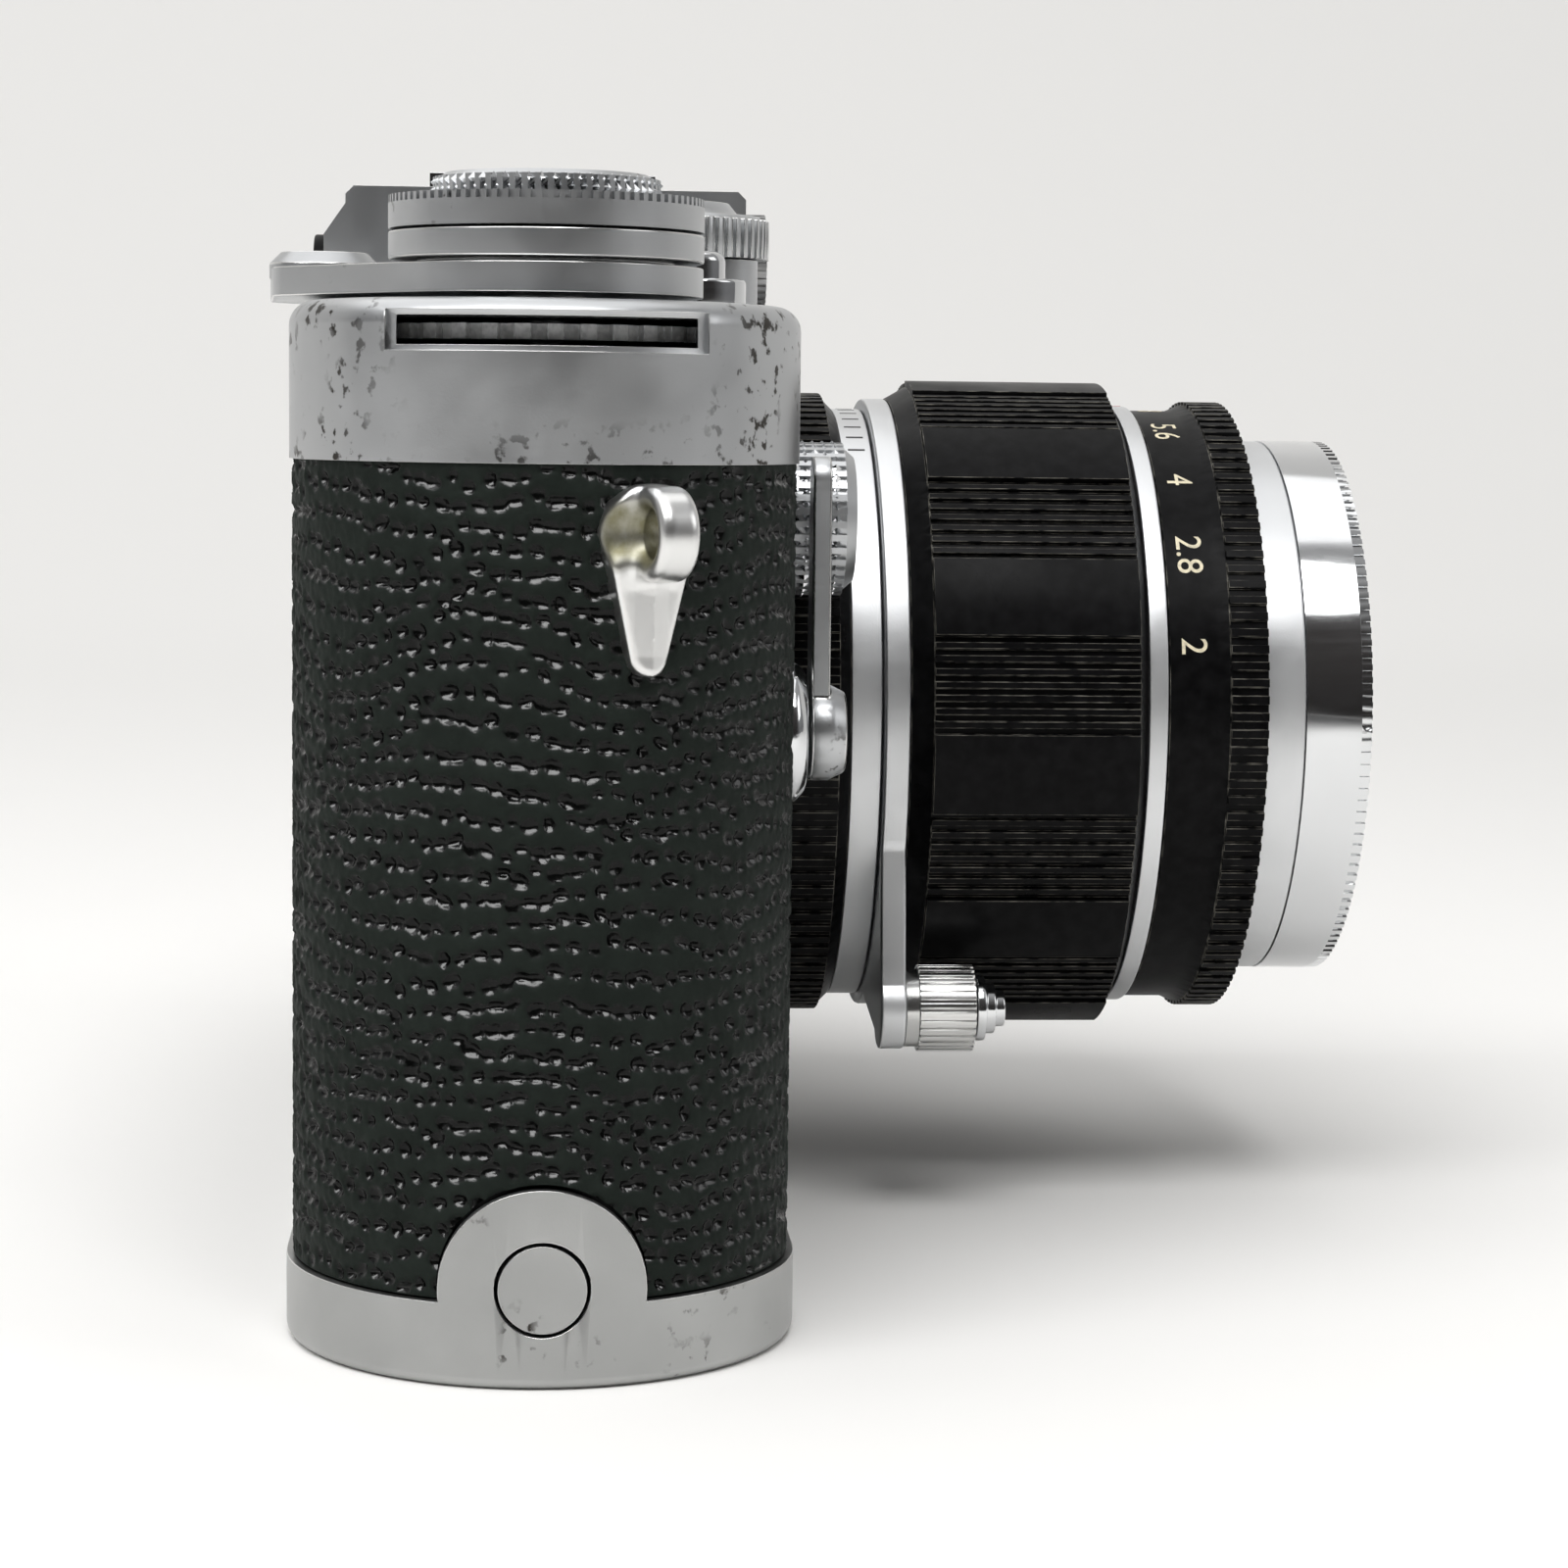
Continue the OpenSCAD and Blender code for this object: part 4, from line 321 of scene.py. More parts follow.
for node_name in NODES:
    dress(node_name, FINISH_OF_SLOT[SLOT_OF[node_name]])
for node_name in ("front_element", "rear_element"):
    dress(node_name, COATED)
for node_name in NODES:
    if node_name.startswith("iris_blade"):
        dress(node_name, BLUED)


# Mesh helpers


def place_piece(mesh, name, node, *materials):
    """Object for a finished mesh, attached to the body of a node."""
    body, slot = BODY_OF[node], SLOT_OF[node]
    mesh.materials.clear()
    for material in materials:
        mesh.materials.append(material)
    piece = bpy.data.objects.new(name, mesh)
    bpy.context.scene.collection.objects.link(piece)
    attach(piece, body)
    return piece


def baked(piece):
    """Plain mesh of an object with its modifiers applied."""
    graph = bpy.context.evaluated_depsgraph_get()
    return bpy.data.meshes.new_from_object(piece.evaluated_get(graph), depsgraph=graph)


def shade_smooth(mesh):
    """Smooth shading all over a mesh."""
    mesh.polygons.foreach_set("use_smooth", [True] * len(mesh.polygons))


# Rounding of edges

MERGE_GAP = 0.03 * MM  # points nearer than this become one
FLAT_ANGLE = math.radians(0.4)  # faces that differ by less are joined
EDGE_ANGLE = math.radians(38)  # edges that turn more are rounded
SHARP_ANGLE = math.radians(50)  # edges that turn more stay sharp in the shading
FINE_ROUNDING = 0.05  # mm; it fits between the closest points, so it needs no limit


def welded_copy(node, join_flats):
    """Copy of a node's mesh with its points merged and, where asked, its flat areas joined."""
    built = bmesh.new()
    built.from_mesh(NODES[node].data)
    bmesh.ops.remove_doubles(built, verts=built.verts, dist=MERGE_GAP)
    if join_flats:
        bmesh.ops.dissolve_limit(built, angle_limit=FLAT_ANGLE, verts=built.verts, edges=built.edges)
    mesh = bpy.data.meshes.new(node + "_softened")
    built.to_mesh(mesh)
    built.free()
    return mesh


def softened(node, material, width, edge=None, join_flats=True):
    """Stands for a node with its edges rounded by a width in mm; the rounding may have its own finish."""
    holder = bpy.data.objects.new(node + "_raw", welded_copy(node, join_flats))
    bpy.context.scene.collection.objects.link(holder)
    bevel = holder.modifiers.new("edges", "BEVEL")
    bevel.width = width * MM
    bevel.use_clamp_overlap = width > FINE_ROUNDING
    bevel.segments = 2
    bevel.limit_method = "ANGLE"
    bevel.angle_limit = EDGE_ANGLE
    bevel.miter_outer = "MITER_ARC"
    holder.data.materials.append(material)
    holder.data.materials.append(edge or material)
    if edge:
        bevel.material = 1
    rounded = baked(holder)
    shade_smooth(rounded)
    rounded.set_sharp_from_angle(angle=SHARP_ANGLE)
    holder.modifiers.clear()
    holder.data = rounded
    holder.modifiers.new("flats", "WEIGHTED_NORMAL").keep_sharp = True
    mesh = baked(holder)
    bpy.data.objects.remove(holder)
    # Clearing the slots clears each face's finish too, so that is put back
    finish_of_face = [face.material_index for face in mesh.polygons]
    piece = place_piece(mesh, node + "_finished", node, material, edge or material)
    mesh.polygons.foreach_set("material_index", finish_of_face)
    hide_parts(node)


# Metal pieces with rounded edges

for node_name, material, width in (
    ("top_cover", PITTED, 0.25),
    ("base_plate", DULL, 0.25),
    ("base_stud", DULL, 0.2),
    ("advance_lever", SATIN, 0.35),
    ("lever_cap", SATIN, 0.2),
    ("rewind_catch", SATIN, 0.25),
    ("speed_dial", SATIN, FINE_ROUNDING),
    ("rewind_knob", SATIN, FINE_ROUNDING),
    ("scale_ring", FROSTED, 0.12),
    ("index_ring", FROSTED, 0.15),
    ("front_ring", FROSTED, 0.2),
    ("lock_arm", FROSTED, 0.2),
    ("lock_knob", RUBBED, 0.12),
    ("lock_plunger", BRIGHT, 0.15),
    ("mount_ring", BRIGHT, 0.15),
    ("timer_escutcheon", BRIGHT, 0.25),
    ("timer_lever", SATIN, 0.22),
    ("release_collar", BRIGHT, 0.25),
    ("release_button", BRIGHT, 0.3),
    ("accessory_shoe", BRIGHT, 0.12),
    ("finder_frame", BRIGHT, 0.15),
    ("lock_key", SATIN, 0.15),
):
    softened(node_name, material, width, edge=RUBBED if material in (SATIN, PITTED, DULL) else None)

# Ribbed black rings, rubbed through along their edges

for node_name in ("lens_base", "focus_ring", "aperture_ring"):
    softened(node_name, BLACK, FINE_ROUNDING, edge=WORN_EDGE)

# The rest. The filter ring's flats stay apart: joined, the flat round its opening would close it

softened("counter_wheel", ENAMEL, 0.12, edge=BRIGHT)
softened("eyepiece_rims", BLACK, 0.15)
softened("filter_ring", BRIGHT, 0.06, join_flats=False)


# Leather


def body_path(distance, radius):
    """Place and outward direction along the body's outline, starting at the front under the lens."""
    straight = END_X
    arc = math.pi * radius
    total = 4 * straight + 2 * arc
    distance %= total
    if distance < straight:
        return Vector((-distance, -radius, 0)), Vector((0, -1, 0))
    distance -= straight
    if distance < arc:
        turn = distance / radius
        out = Vector((-math.sin(turn), -math.cos(turn), 0))
        return Vector((-END_X, 0, 0)) + out * radius, out
    distance -= arc
    if distance < 2 * straight:
        return Vector((-END_X + distance, radius, 0)), Vector((0, 1, 0))
    distance -= 2 * straight
    if distance < arc:
        turn = distance / radius
        out = Vector((math.sin(turn), math.cos(turn), 0))
        return Vector((END_X, 0, 0)) + out * radius, out
    distance -= arc
    return Vector((END_X - distance, -radius, 0)), Vector((0, -1, 0))


# Grain of the leather, in mm

GRAIN_SEED = 7
PIT_ROW_PITCH = 1.62
PIT_SWAY, SWAY_RUN, SWAY_CLIMB = 2.0, 11, 13  # how far the rows wander, and over what distances
PIT_STRAY = 0.2  # how far a pit lies from its row
PIT_TURN = 0.35  # how far it turns from its row, in radians
PIT_HALF_LENGTHS, PIT_HALF_HEIGHTS = (0.45, 0.8), (0.4, 0.62)
PIT_DEPTHS, PIT_STEPS = (0.3, 0.52), (0.85, 1.4)


def row_sway(along, level):
    """How far a row of pits wanders from its level, mm."""
    return PIT_SWAY * noise.noise(Vector((along / SWAY_RUN, level / SWAY_CLIMB, 3)))


def leather_pits(length, height):
    """Pits in wandering rows round the body: (along, up, half length, half height, depth, tilt)."""
    chance = random.Random(GRAIN_SEED)
    pits = []
    for row in range(-1, int(height / PIT_ROW_PITCH) + 2):
        along = chance.uniform(0, 1)
        level = (row + 0.5) * PIT_ROW_PITCH
        while along < length:
            sway = row_sway(along, level)
            slope = row_sway(along + 1, level) - sway
            up = level + sway + chance.gauss(0, PIT_STRAY)
            half = chance.uniform(*PIT_HALF_LENGTHS)
            pits.append((along, up, half, chance.uniform(*PIT_HALF_HEIGHTS), chance.uniform(*PIT_DEPTHS),
                         math.atan(slope) + chance.gauss(0, PIT_TURN)))
            along += chance.uniform(*PIT_STEPS)
    return pits


def pit_depths(pits, along, up):
    """Depth of the leather's face at each crossing of the given lines, mm."""
    a, b = along[:, None], up[None, :]
    waves = np.sin(2.1 * a + 1.3 * np.sin(0.9 * b)) * np.sin(2.7 * b + 1.1 * np.sin(1.1 * a))
    fine = np.sin(4.9 * a + 2.2 * np.sin(2.3 * b)) * np.sin(5.3 * b + 2.2 * np.sin(2.9 * a))
    depth = 0.07 + 0.03 * waves + 0.055 * fine
    rough = 0.1 * np.sin(7.3 * a + 2 * np.sin(4.1 * b)) * np.sin(6.1 * b + 2 * np.sin(5.3 * a))
    for x, y, half, high, deep, tilt in pits:
        i0, i1 = np.searchsorted(along, (x - half - high, x + half + high))
        j0, j1 = np.searchsorted(up, (y - half - high, y + half + high))
        if i0 == i1 or j0 == j1:
            continue
        dx, dy = a[i0:i1] - x, b[:, j0:j1] - y
        across = (dx * math.cos(tilt) + dy * math.sin(tilt)) / half
        rise = (dy * math.cos(tilt) - dx * math.sin(tilt)) / high
        dent = 0.05 + (deep + rough[i0:i1, j0:j1]) * np.clip(1 - across ** 2 - rise ** 2, 0, 1) ** 0.7
        depth[i0:i1, j0:j1] = np.maximum(depth[i0:i1, j0:j1], dent)
    return depth


# Panels of the leather

LEATHER_ROWS = 232
RIM_DEPTH = 0.1  # mm, along the top and the bottom
PIT_STARTS, PIT_FULL = 0.1, 0.3  # mm; the depth where a pit starts, and how much more makes it full
EDGE_BAND = 0.24 * MM  # points this near to an opening's edge are moved onto it


def fit_edge(points, centre, radius, axes):
    """Moves points near an opening's edge onto it, and tells which lie inside."""
    middle_of = np.array([centre[axis] for axis in axes])
    away = points[:, :, axes] - middle_of
    length = np.linalg.norm(away, axis=2)
    inside = length < radius + EDGE_BAND / 2
    near = inside & (length > radius - EDGE_BAND)
    flat = points[:, :, axes]
    flat[near] = middle_of + away[near] / length[near][:, None] * radius
    points[:, :, axes] = flat
    return inside


def leather_panel(name, first, last, columns, pits, openings, tab):
    """Part of the leather between two distances round the body, cut round what lies in it."""
    along = np.linspace(first, last, columns + 1)
    levels = np.linspace(LEATHER_LOW, LEATHER_TOP, LEATHER_ROWS + 1)
    depth = pit_depths(pits, along / MM, (levels - LEATHER_LOW) / MM) * MM
    depth[:, [0, -1]] = RIM_DEPTH * MM
    path = [body_path(distance, LEATHER_R) for distance in along]
    place = np.array([point for point, out in path])[:, None, :]
    outward = np.array([out for point, out in path])[:, None, :]
    points = place - outward * depth[:, :, None]
    points[:, :, 2] = levels[None, :]
    gone = np.zeros(depth.shape, bool)
    for centre, radius in openings:
        gone |= fit_edge(points, centre, radius, (0, 2))
    if tab:
        gone |= fit_edge(points, *tab, (1, 2))
        gone |= (points[:, :, 2] < tab[0].z) & (abs(points[:, :, 1]) < tab[1])
    count = np.arange(depth.size).reshape(depth.shape)
    corners = (count[:-1, :-1], count[:-1, 1:], count[1:, 1:], count[1:, :-1])
    quads = np.stack(corners, axis=-1).reshape(-1, 4)
    quads = quads[~gone.reshape(-1)[quads].all(axis=1)]
    used, quads = np.unique(quads, return_inverse=True)
    mesh = bpy.data.meshes.new(name)
    mesh.from_pydata(points.reshape(-1, 3)[used].tolist(), [], quads.reshape(-1, 4).tolist())
    # How deep each point lies in a pit; the leather's finish darkens the pits by it as painted shade
    sunk = np.clip(depth / MM - PIT_STARTS, 0, None) / PIT_FULL
    upward = np.clip(np.gradient(depth, levels, axis=1), 0, 1)
    for layer_name, values in (("pit", sunk), ("upward_wall", upward)):
        layer = mesh.attributes.new(layer_name, "FLOAT", "POINT")
        layer.data.foreach_set("value", values.reshape(-1)[used])
    shade_smooth(mesh)
    piece = place_piece(mesh, name, "leather_cover", LEATHER)
    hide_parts("leather_cover")


def leather_skin():
    """Leather round the body: two ends, front and back."""
    arc = math.pi * LEATHER_R
    length = 4 * END_X + 2 * arc
    pits = leather_pits(length / MM, (LEATHER_TOP - LEATHER_LOW) / MM)
    openings = [
        (middle("mount_ring"), reach("mount_ring", 0) + 0.3 * MM),
        (middle("timer_escutcheon"), reach("timer_escutcheon", 0) + 0.05 * MM),
    ]
    stud = middle("base_stud")
    tab = (stud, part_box("base_plate")[1][2] - stud.z + 0.3 * MM)
    turns = (0, END_X, END_X + arc, 3 * END_X + arc, 3 * END_X + 2 * arc, length)
    for part, (name, columns, cut, foot) in enumerate((
        ("leather_front_wind", 210, openings, None),
        ("leather_wind_end", 256, (), tab),
        ("leather_back", 420, (), None),
        ("leather_rewind_end", 256, (), None),
        ("leather_front_rewind", 210, openings, None),
    )):
        leather_panel(name, turns[part], turns[part + 1], columns, pits, cut, foot)


leather_skin()


# Cast lugs, with their joins flowed together

LUG_STEP = 0.1  # mm between the points of the grid
LUG_EYE_OUT = 2.8  # mm from the plate to the middle of the eye
LUG_TARNISH = 0.7  # mm from the bore to where the tarnish ends


def soft_join(a, b, reach_mm):
    """Union of two distance fields with a rounded inner corner."""
    share = np.clip(0.5 + 0.5 * (b - a) / reach_mm, 0, 1)
    return b + (a - b) * share - reach_mm * share * (1 - share)


def soft_cut(a, b, reach_mm):
    """What lies in both of two distance fields, with a rounded corner."""
    return -soft_join(-a, -b, reach_mm)


def lug_field(across, up, out, drop):
    """Distance field of a cast lug, mm: a teardrop plate with a ridge, and a hooded eye."""
    head_r, tip_r, eye_r, bore_r = 2.95, 1.25, 2.9, 1.5
    length = drop - tip_r
    slant = (head_r - tip_r) / length
    side = math.sqrt(1 - slant * slant)
    along = np.abs(across) * -slant - up * side
    cone = np.where(along < 0, np.hypot(across, up) - head_r,
                    np.where(along > side * length, np.hypot(across, up + length) - tip_r,
                             np.abs(across) * side - up * slant - head_r))
    ridge = 0.45 * np.clip(1 - np.abs(across) / 1.1, 0, 1) * np.clip((-up - 1.5) / 2, 0, 1)
    fall = 0.35 * np.clip(-up / length, 0, 1)
    plate = soft_cut(cone, np.abs(out - 0.1) - (1.15 + ridge - fall), 0.5)
    eye = soft_cut(np.hypot(up, out - LUG_EYE_OUT) - eye_r, np.abs(across) - 1.3, 0.8)
    flare = bore_r + 0.55 * np.clip(np.abs(across) - 0.7, 0, None)
    bore = np.hypot(up, out - LUG_EYE_OUT) - flare
    return soft_cut(soft_join(plate, eye, 1.1), -bore, 0.4), bore


def field_surface(field, low, step):
    """Points and quads of the surface where a sampled field is zero."""
    cells = np.array(field.shape) - 1
    total = np.zeros((*cells, 3))
    hits = np.zeros(cells)
    for axis in range(3):
        for first in ((0, 0), (0, 1), (1, 0), (1, 1)):
            corner = np.insert(first, axis, 0)
            after = corner + np.eye(3, dtype=int)[axis]
            a, b = (field[tuple(slice(c, c + n) for c, n in zip(start, cells))] for start in (corner, after))
            crossed = (a < 0) != (b < 0)
            share = np.where(crossed, a / np.where(crossed, a - b, 1), 0)
            spot = np.zeros((*cells, 3)) + corner
            spot[..., axis] += share
            total += spot * crossed[..., None]
            hits += crossed
    active = hits > 0
    number = np.full(cells, -1)
    number[active] = np.arange(active.sum())
    points = low + step * (np.argwhere(active) + total[active] / hits[active][:, None])
    quads = []
    for axis in range(3):
        order = (axis, (axis + 1) % 3, (axis + 2) % 3)
        turned, named = field.transpose(order), number.transpose(order)
        a, b = turned[:-1, 1:-1, 1:-1], turned[1:, 1:-1, 1:-1]
        corners = (named[:, :-1, :-1], named[:, 1:, :-1], named[:, 1:, 1:], named[:, :-1, 1:])
        ring = np.stack(corners, axis=-1)
        quads.append(ring[(a < 0) & (b >= 0)])
        quads.append(ring[(a >= 0) & (b < 0)][:, ::-1])
    return points, np.concatenate(quads)


def cast_lugs():
    """Strap lugs as smooth castings, tarnished in the eye."""
    low_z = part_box("strap_lugs")[0][2]
    for mount in RECORD["mounts"]:
        if not mount["name"].startswith("strap_lug"):
            continue
        eye = Vector(mount["pos_m"])
        drop = (eye.z - low_z) / MM
        low = np.array((-3.5, -drop - 0.5, -1.5))
        counts = np.ceil((np.array((3.5, 3.5, 6.2)) - low) / LUG_STEP).astype(int)
        grid = [low[axis] + LUG_STEP * np.arange(counts[axis]) for axis in range(3)]
        across, up, out = np.meshgrid(*grid, indexing="ij")
        points, quads = field_surface(lug_field(across, up, out, drop)[0], low, LUG_STEP)
        hollow = np.array([lug_field(*point, drop)[1] for point in points])
        side = Vector(mount["axis"]).normalized()
        outward = Vector((0, 0, 1)).cross(side)
        if outward.x * eye.x < 0:
            outward = -outward
        side = outward.cross(Vector((0, 0, -1)))
        frame_of = np.array((side, (0, 0, 1), outward)) * MM
        world = np.array(eye - outward * (LUG_EYE_OUT * MM)) + points @ frame_of
        if np.linalg.det(frame_of) < 0:
            quads = quads[:, ::-1]
        name = mount["name"] + "_cast"
        mesh = bpy.data.meshes.new(name)
        mesh.from_pydata(world.tolist(), [], quads.tolist())
        layer = mesh.attributes.new("hollow", "FLOAT", "POINT")
        layer.data.foreach_set("value", np.clip(1 - hollow / LUG_TARNISH, 0, 1))
        shade_smooth(mesh)
        piece = place_piece(mesh, name, "strap_lugs", LUG)
        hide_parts("strap_lugs")


cast_lugs()


# Knurls and engraved lines by Geometry Nodes


def sized_tree(name, sizes):
    """Tree with a geometry output and named inputs, and those inputs."""
    tree = bpy.data.node_groups.new(name, "GeometryNodeTree")
    tree.interface.new_socket("Geometry", in_out="OUTPUT", socket_type="NodeSocketGeometry")
    for size_name, kind in sizes:
        tree.interface.new_socket(size_name, in_out="INPUT", socket_type="NodeSocket" + kind)
    return tree, tree.nodes.new("NodeGroupInput").outputs


def set_round(tree, sizes, count, angle, height, shape, tip):
    """Ends a tree with copies of a shape set round an axis, each tipped and turned to face outwards."""
    points = add(tree, "GeometryNodePoints", {"Count": count}).outputs["Points"]
    spot = add(tree, "ShaderNodeCombineXYZ", {
        "X": maths(tree, "MULTIPLY", maths(tree, "COSINE", angle), sizes["Radius"]),
        "Y": maths(tree, "MULTIPLY", maths(tree, "SINE", angle), sizes["Radius"]),
        "Z": height,
    }).outputs[0]
    placed = add(tree, "GeometryNodeSetPosition", {"Geometry": points, "Position": spot}).outputs[0]
    facing = add(tree, "ShaderNodeCombineXYZ", {"X": 0.0, "Y": tip, "Z": angle}).outputs[0]
    rotation = add(tree, "FunctionNodeEulerToRotation", {0: facing}).outputs[0]
    copies = add(tree, "GeometryNodeInstanceOnPoints", {
        "Points": placed, "Instance": shape, "Rotation": rotation,
    }).outputs[0]
    real = add(tree, "GeometryNodeRealizeInstances", {"Geometry": copies}).outputs[0]
    coated = add(tree, "GeometryNodeSetMaterial", {"Geometry": real, "Material": sizes["Finish"]}).outputs[0]
    end = tree.nodes.new("NodeGroupOutput")
    tree.links.new(coated, end.inputs["Geometry"])


def knurl_tree():
    """Tree that sets rows of small pyramids round a drum, each row half a pitch on from the last."""
    tree, sizes = sized_tree("knurl", (
        ("Radius", "Float"), ("Columns", "Int"), ("Rows", "Int"), ("Row pitch", "Float"),
        ("Point size", "Float"), ("Point height", "Float"), ("Finish", "Material")))
    index = add(tree, "GeometryNodeInputIndex").outputs[0]
    row = maths(tree, "FLOOR", maths(tree, "DIVIDE", index, sizes["Columns"]))
    shift = maths(tree, "MULTIPLY", maths(tree, "MODULO", row, 2.0), 0.5)
    column = maths(tree, "ADD", maths(tree, "MODULO", index, sizes["Columns"]), shift)
    angle = maths(tree, "MULTIPLY", maths(tree, "DIVIDE", column, sizes["Columns"]), 2 * math.pi)
    pyramid = add(tree, "GeometryNodeMeshCone", {
        "Vertices": 4, "Radius Top": 0.0, "Radius Bottom": sizes["Point size"],
        "Depth": sizes["Point height"],
    }).outputs["Mesh"]
    set_round(tree, sizes, maths(tree, "MULTIPLY", sizes["Columns"], sizes["Rows"]), angle,
              maths(tree, "MULTIPLY", row, sizes["Row pitch"]), pyramid, math.pi / 2)
    return tree


def line_tree():
    """Tree that sets short bars round a ring, over part of a turn."""
    tree, sizes = sized_tree("scale_lines", (
        ("Radius", "Float"), ("Count", "Int"), ("First angle", "Float"), ("Step", "Float"),
        ("Bar size", "Vector"), ("Finish", "Material")))
    index = add(tree, "GeometryNodeInputIndex").outputs[0]
    angle = maths(tree, "ADD", sizes["First angle"], maths(tree, "MULTIPLY", index, sizes["Step"]))
    bar = add(tree, "GeometryNodeMeshCube", {"Size": sizes["Bar size"]}).outputs["Mesh"]
    set_round(tree, sizes, sizes["Count"], angle, 0.0, bar, 0.0)
    return tree


KNURL = knurl_tree()
LINES = line_tree()


def grown(tree, name, node, place, material, **sizes):
    """Piece made by a tree from named sizes and moved to its place on a node."""
    holder = bpy.data.objects.new(name + "_raw", bpy.data.meshes.new(name + "_raw"))
    bpy.context.scene.collection.objects.link(holder)
    modifier = holder.modifiers.new("grown", "NODES")
    modifier.node_group = tree
    wanted = {key.replace("_", " ").lower(): value for key, value in sizes.items()}
    wanted["finish"] = material
    for item in tree.interface.items_tree:
        if item.in_out == "INPUT":
            modifier[item.identifier] = wanted[item.name.lower()]
    mesh = baked(holder)
    bpy.data.objects.remove(holder)
    mesh.transform(place)
    place_piece(mesh, name, node, material)


def facing_front(x, d, z):
    """Turns an upright drawing to point to the front, at a place d metres in front of mid-depth."""
    return Matrix.Translation((x, -d, z)) @ Matrix.Rotation(math.pi / 2, 4, "X")


def knurled_drum(node, place, radius, length, columns, rows, height, material):
    """Rows of pyramids over a drum."""
    pitch = length / rows
    size = min(pitch, math.pi * radius / columns)
    grown(KNURL, node + "_knurl", node, place, material, Radius=radius, Columns=columns, Rows=rows,
          Row_pitch=pitch, Point_size=size, Point_height=height)


# Engraved figures

FIGURE_SHARE = 0.7  # a figure's height, as a share of the type's size


def figure_mesh(text, height):
    """Flat outline of a figure, centred, as a thin mesh in the drawing plane."""
    curve = bpy.data.curves.new("figure", "FONT")
    curve.body = text
    curve.size = height / FIGURE_SHARE
    curve.align_x = "CENTER"
    curve.align_y = "CENTER"
    curve.extrude = 0.015 * MM
    curve.resolution_u = 4
    holder = bpy.data.objects.new("figure_raw", curve)
    bpy.context.scene.collection.objects.link(holder)
    mesh = baked(holder)
    bpy.data.objects.remove(holder)
    return mesh


def wrapped_figures(name, node, labels, radius, d, height, material):
    """Figures set round a ring of the lens, read with the lens pointing away."""
    built = bmesh.new()
    for text, angle in labels:
        mesh = figure_mesh(text, height)
        for vert in mesh.vertices:
            across, up, out = vert.co
            turn = math.radians(angle) + across / radius
            r = radius + out
            vert.co = (r * math.cos(turn), -(d + up), LENS_Z + r * math.sin(turn))
        built.from_mesh(mesh)
    bmesh.ops.recalc_face_normals(built, faces=built.faces)
    mesh = bpy.data.meshes.new(name)
    built.to_mesh(mesh)
    built.free()
    place_piece(mesh, name, node, material)


def ring_figures(name, node, labels, centre, radius, height, material):
    """Figures set flat round a dial, their feet towards its middle."""
    built = bmesh.new()
    for text, angle in labels:
        mesh = figure_mesh(text, height)
        turn = Matrix.Rotation(math.radians(angle - 90), 4, "Z")
        mesh.transform(Matrix.Translation(centre) @ turn @ Matrix.Translation((0, radius, 0)))
        built.from_mesh(mesh)
    mesh = bpy.data.meshes.new(name)
    built.to_mesh(mesh)
    built.free()
    place_piece(mesh, name, node, material)


def front_of(node):
    """How far a node reaches in front of mid-depth."""
    return -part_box(node)[0][1]


def back_of(node):
    """How far a node's rear end lies in front of mid-depth."""
    return -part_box(node)[1][1]


# Figures and lines on the lens and the dials

FIGURE_BAND_R = 23.53 * MM
APERTURES = [(label, 165 - 18 * k) for k, label in enumerate(("2", "2.8", "4", "5.6", "8", "11", "16"))]
wrapped_figures("aperture_figures", "aperture_ring", APERTURES, radius=FIGURE_BAND_R,
                d=back_of("aperture_ring") + 1.75 * MM, height=1.95 * MM, material=IVORY)

index_mid = (front_of("index_ring") + back_of("index_ring")) / 2
grown(LINES, "index_line", "index_ring", facing_front(0, index_mid, LENS_Z), RED,
      Radius=reach("index_ring", 0), Count=1, First_angle=math.pi / 2, Step=0.0,
      Bar_size=(0.04 * MM, 0.35 * MM, 1.1 * MM))
scale_mid = (front_of("scale_ring") + back_of("scale_ring")) / 2
grown(LINES, "depth_lines", "scale_ring", facing_front(0, scale_mid, LENS_Z), INK,
      Radius=reach("scale_ring", 0), Count=13, First_angle=math.radians(60), Step=math.radians(5),
      Bar_size=(0.04 * MM, 0.2 * MM, 1.3 * MM))

speed = middle("speed_dial")
SHOULDER_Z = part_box("speed_dial")[1][2] - 0.95 * MM
SPEEDS = [(label, 130 - 40 * k) for k, label in enumerate(("B", "30", "60", "125", "250", "500", "1000"))]
ring_figures("speed_figures", "speed_dial", SPEEDS, centre=(speed.x, speed.y, SHOULDER_Z + 0.005 * MM),
             radius=6.5 * MM, height=0.95 * MM, material=INK)

counter_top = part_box("counter_wheel")[1][2]
COUNTS = [(str(4 * k), 36 * k) for k in range(10)]
ring_figures("counter_figures", "counter_wheel", COUNTS, centre=(HUB.x, HUB.y, counter_top + 0.01 * MM),
             radius=10.6 * MM, height=1.5 * MM, material=IVORY)

# Knurls

knob_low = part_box("reminder_knob")[0][2]
knurled_drum("reminder_knob", Matrix.Translation((HUB.x, HUB.y, knob_low + 0.25 * MM)), radius=6.95 * MM,
             length=1.0 * MM, columns=56, rows=2, height=0.5 * MM, material=BRIGHT)
dress("reminder_knob", SATIN)
slow = middle("slow_dial")
knurled_drum("slow_dial", facing_front(slow.x, front_of("slow_dial") - 4.4 * MM, slow.z), radius=5.2 * MM,
             length=3.6 * MM, columns=40, rows=5, height=0.45 * MM, material=BRIGHT)


# Studio

FLOOR_REACH = 6.0
WALL_X, WALL_TOP = 0.55, 2.0
BEND_R, BEND_STEPS = 0.5, 12


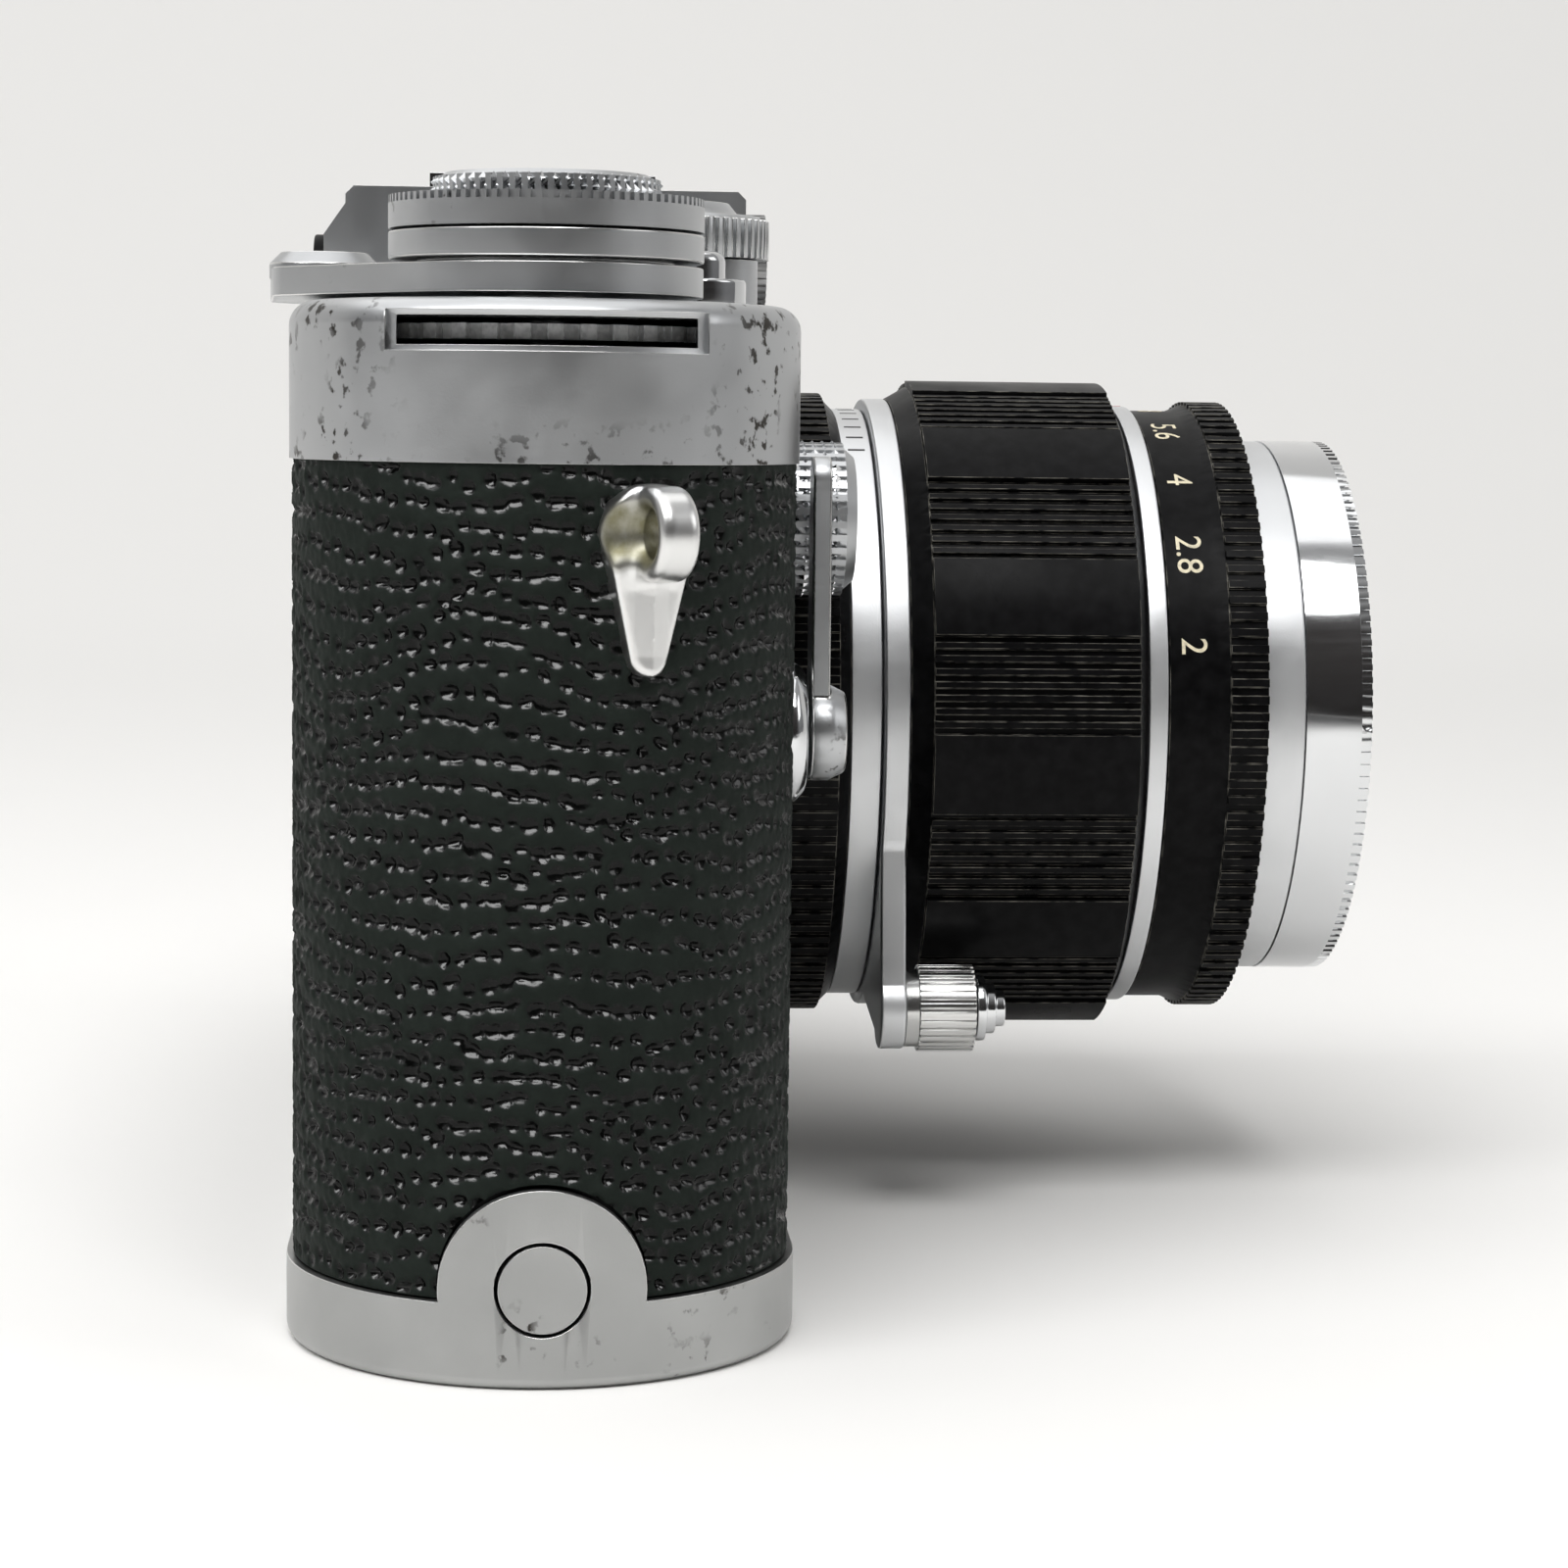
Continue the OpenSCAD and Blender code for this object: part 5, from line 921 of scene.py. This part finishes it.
def studio_floor():
    """Pale seamless floor that rises at the far side."""
    profile = [(-FLOOR_REACH, 0.0), (WALL_X, 0.0)]
    for k in range(1, BEND_STEPS + 1):
        turn = math.pi / 2 * k / BEND_STEPS
        profile.append((WALL_X + BEND_R * math.sin(turn), BEND_R - BEND_R * math.cos(turn)))
    profile.append((WALL_X + BEND_R, WALL_TOP))
    built = bmesh.new()
    sides = [[built.verts.new((x, y, z)) for x, z in profile] for y in (-FLOOR_REACH, FLOOR_REACH)]
    for a in range(len(profile) - 1):
        built.faces.new((sides[0][a], sides[0][a + 1], sides[1][a + 1], sides[1][a]))
    mesh = bpy.data.meshes.new("studio_floor")
    built.to_mesh(mesh)
    built.free()
    shade_smooth(mesh)
    floor = bpy.data.objects.new("studio_floor", mesh)
    bpy.context.scene.collection.objects.link(floor)
    mesh.materials.append(pale_paper())


def pale_paper():
    """Floor paper: lit by the lamps, and lifted to near white for what sees it directly. Towards the viewing
    side its colour falls to dark grey, a painted shade that the metal mirrors.
    """
    material = bpy.data.materials.new("pale_paper")
    material.use_nodes = True
    tree = material.node_tree
    tree.nodes.clear()
    out = tree.nodes.new("ShaderNodeOutputMaterial")
    place = add(tree, "ShaderNodeTexCoord").outputs["Object"]
    split = add(tree, "ShaderNodeSeparateXYZ", {0: place}).outputs
    # Painted shade: the paper's colour falls from pale to dark grey towards the viewing side (x below -0.3
    # m), so the metal mirrors a dark side of the room
    tone = ramp(tree, maths(tree, "ADD", split["X"], 1.0), [(0.42, 0.15), (0.7, (0.89, 0.882, 0.865))])
    aside = maths(tree, "SUBTRACT", maths(tree, "ABSOLUTE", split["Y"]), 0.4)
    far = maths(tree, "ADD", maths(tree, "MAXIMUM", split["X"], aside), 0.6)
    paper = add(tree, "ShaderNodeBsdfDiffuse", {"Color": tone}).outputs[0]
    lift = add(tree, "ShaderNodeEmission", {"Color": (0.9, 0.89, 0.87, 1), "Strength": 1.0}).outputs[0]
    path = tree.nodes.new("ShaderNodeLightPath").outputs
    seen = maths(tree, "MAXIMUM", path["Is Camera Ray"],
                 maths(tree, "MAXIMUM", path["Is Glossy Ray"], path["Is Transmission Ray"]))
    share = maths(tree, "MULTIPLY", seen,
                  ramp(tree, maths(tree, "MULTIPLY", far, 0.5), [(0.36, 0.02), (0.62, 0.6)]))
    mixed = add(tree, "ShaderNodeMixShader", {0: share, 1: paper, 2: lift}).outputs[0]
    tree.links.new(mixed, out.inputs["Surface"])
    return material


def soft_lamp(name, place, aim, size, power):
    """Rectangular area lamp that faces a point."""
    lamp = bpy.data.lights.new(name, "AREA")
    lamp.shape = "RECTANGLE"
    lamp.size, lamp.size_y = size
    lamp.energy = power
    thing = bpy.data.objects.new(name, lamp)
    bpy.context.scene.collection.objects.link(thing)
    thing.location = place
    thing.rotation_euler = (Vector(aim) - Vector(place)).to_track_quat("-Z", "Y").to_euler()


def room():
    """World light: a pale room, brightest overhead and darker towards the viewing side."""
    world = bpy.data.worlds.new("room")
    bpy.context.scene.world = world
    world.use_nodes = True
    tree = world.node_tree
    tree.nodes.clear()
    out = tree.nodes.new("ShaderNodeOutputWorld")
    way = add(tree, "ShaderNodeTexCoord").outputs["Generated"]
    split = add(tree, "ShaderNodeSeparateXYZ", {0: way}).outputs
    climb = add(tree, "ShaderNodeMath", {0: split["Z"], 1: 0.5, 2: 0.5}, operation="MULTIPLY_ADD").outputs[0]
    height = ramp(tree, climb, [
        (0.0, 0.5), (0.5, (0.42, 0.42, 0.43)), (0.72, (0.85, 0.85, 0.86)), (1.0, 1.0)])
    towards = maths(tree, "MULTIPLY", split["X"], -1.0)
    viewing_side = ramp(tree, towards, [(0.35, 1.0), (0.8, (0.15, 0.14, 0.135))])
    shade = blend(tree, 1.0, height, viewing_side)
    shade.node.blend_type = "MULTIPLY"
    sky = add(tree, "ShaderNodeBackground", {"Color": shade, "Strength": 0.36}).outputs[0]
    tree.links.new(sky, out.inputs["Surface"])


def photo_camera():
    """Camera at the photograph's place and angle."""
    lens = bpy.data.cameras.new("photo_camera")
    lens.lens = 82.07
    lens.sensor_width = 36
    lens.clip_start = 0.01
    lens.clip_end = 20
    eye = bpy.data.objects.new("photo_camera", lens)
    bpy.context.scene.collection.objects.link(eye)
    right = Vector((-0.07263, -0.99728, 0.01260))
    up = Vector((0.10275, 0.00509, 0.99469))
    back = right.cross(up)
    turn = Matrix((right, up, back)).transposed().to_4x4()
    place = Vector((-0.285188, 0.001509, 0.059994))
    eye.matrix_world = Matrix.Translation(place) @ turn
    bpy.context.scene.camera = eye


studio_floor()
room()
soft_lamp("key_lamp", (-0.5, 0.32, 0.75), aim=(0, 0.32, 0), size=(1.2, 0.34), power=7.6)
soft_lamp("top_lamp", (0.12, 0.2, 1.0), aim=(0, 0, 0.03), size=(1.3, 1.3), power=5.4)
soft_lamp("fill_lamp", (-0.3, -0.8, 0.5), aim=(0, 0, 0.04), size=(0.45, 0.45), power=0.9)
photo_camera()

bpy.context.scene.view_settings.view_transform = "Standard"
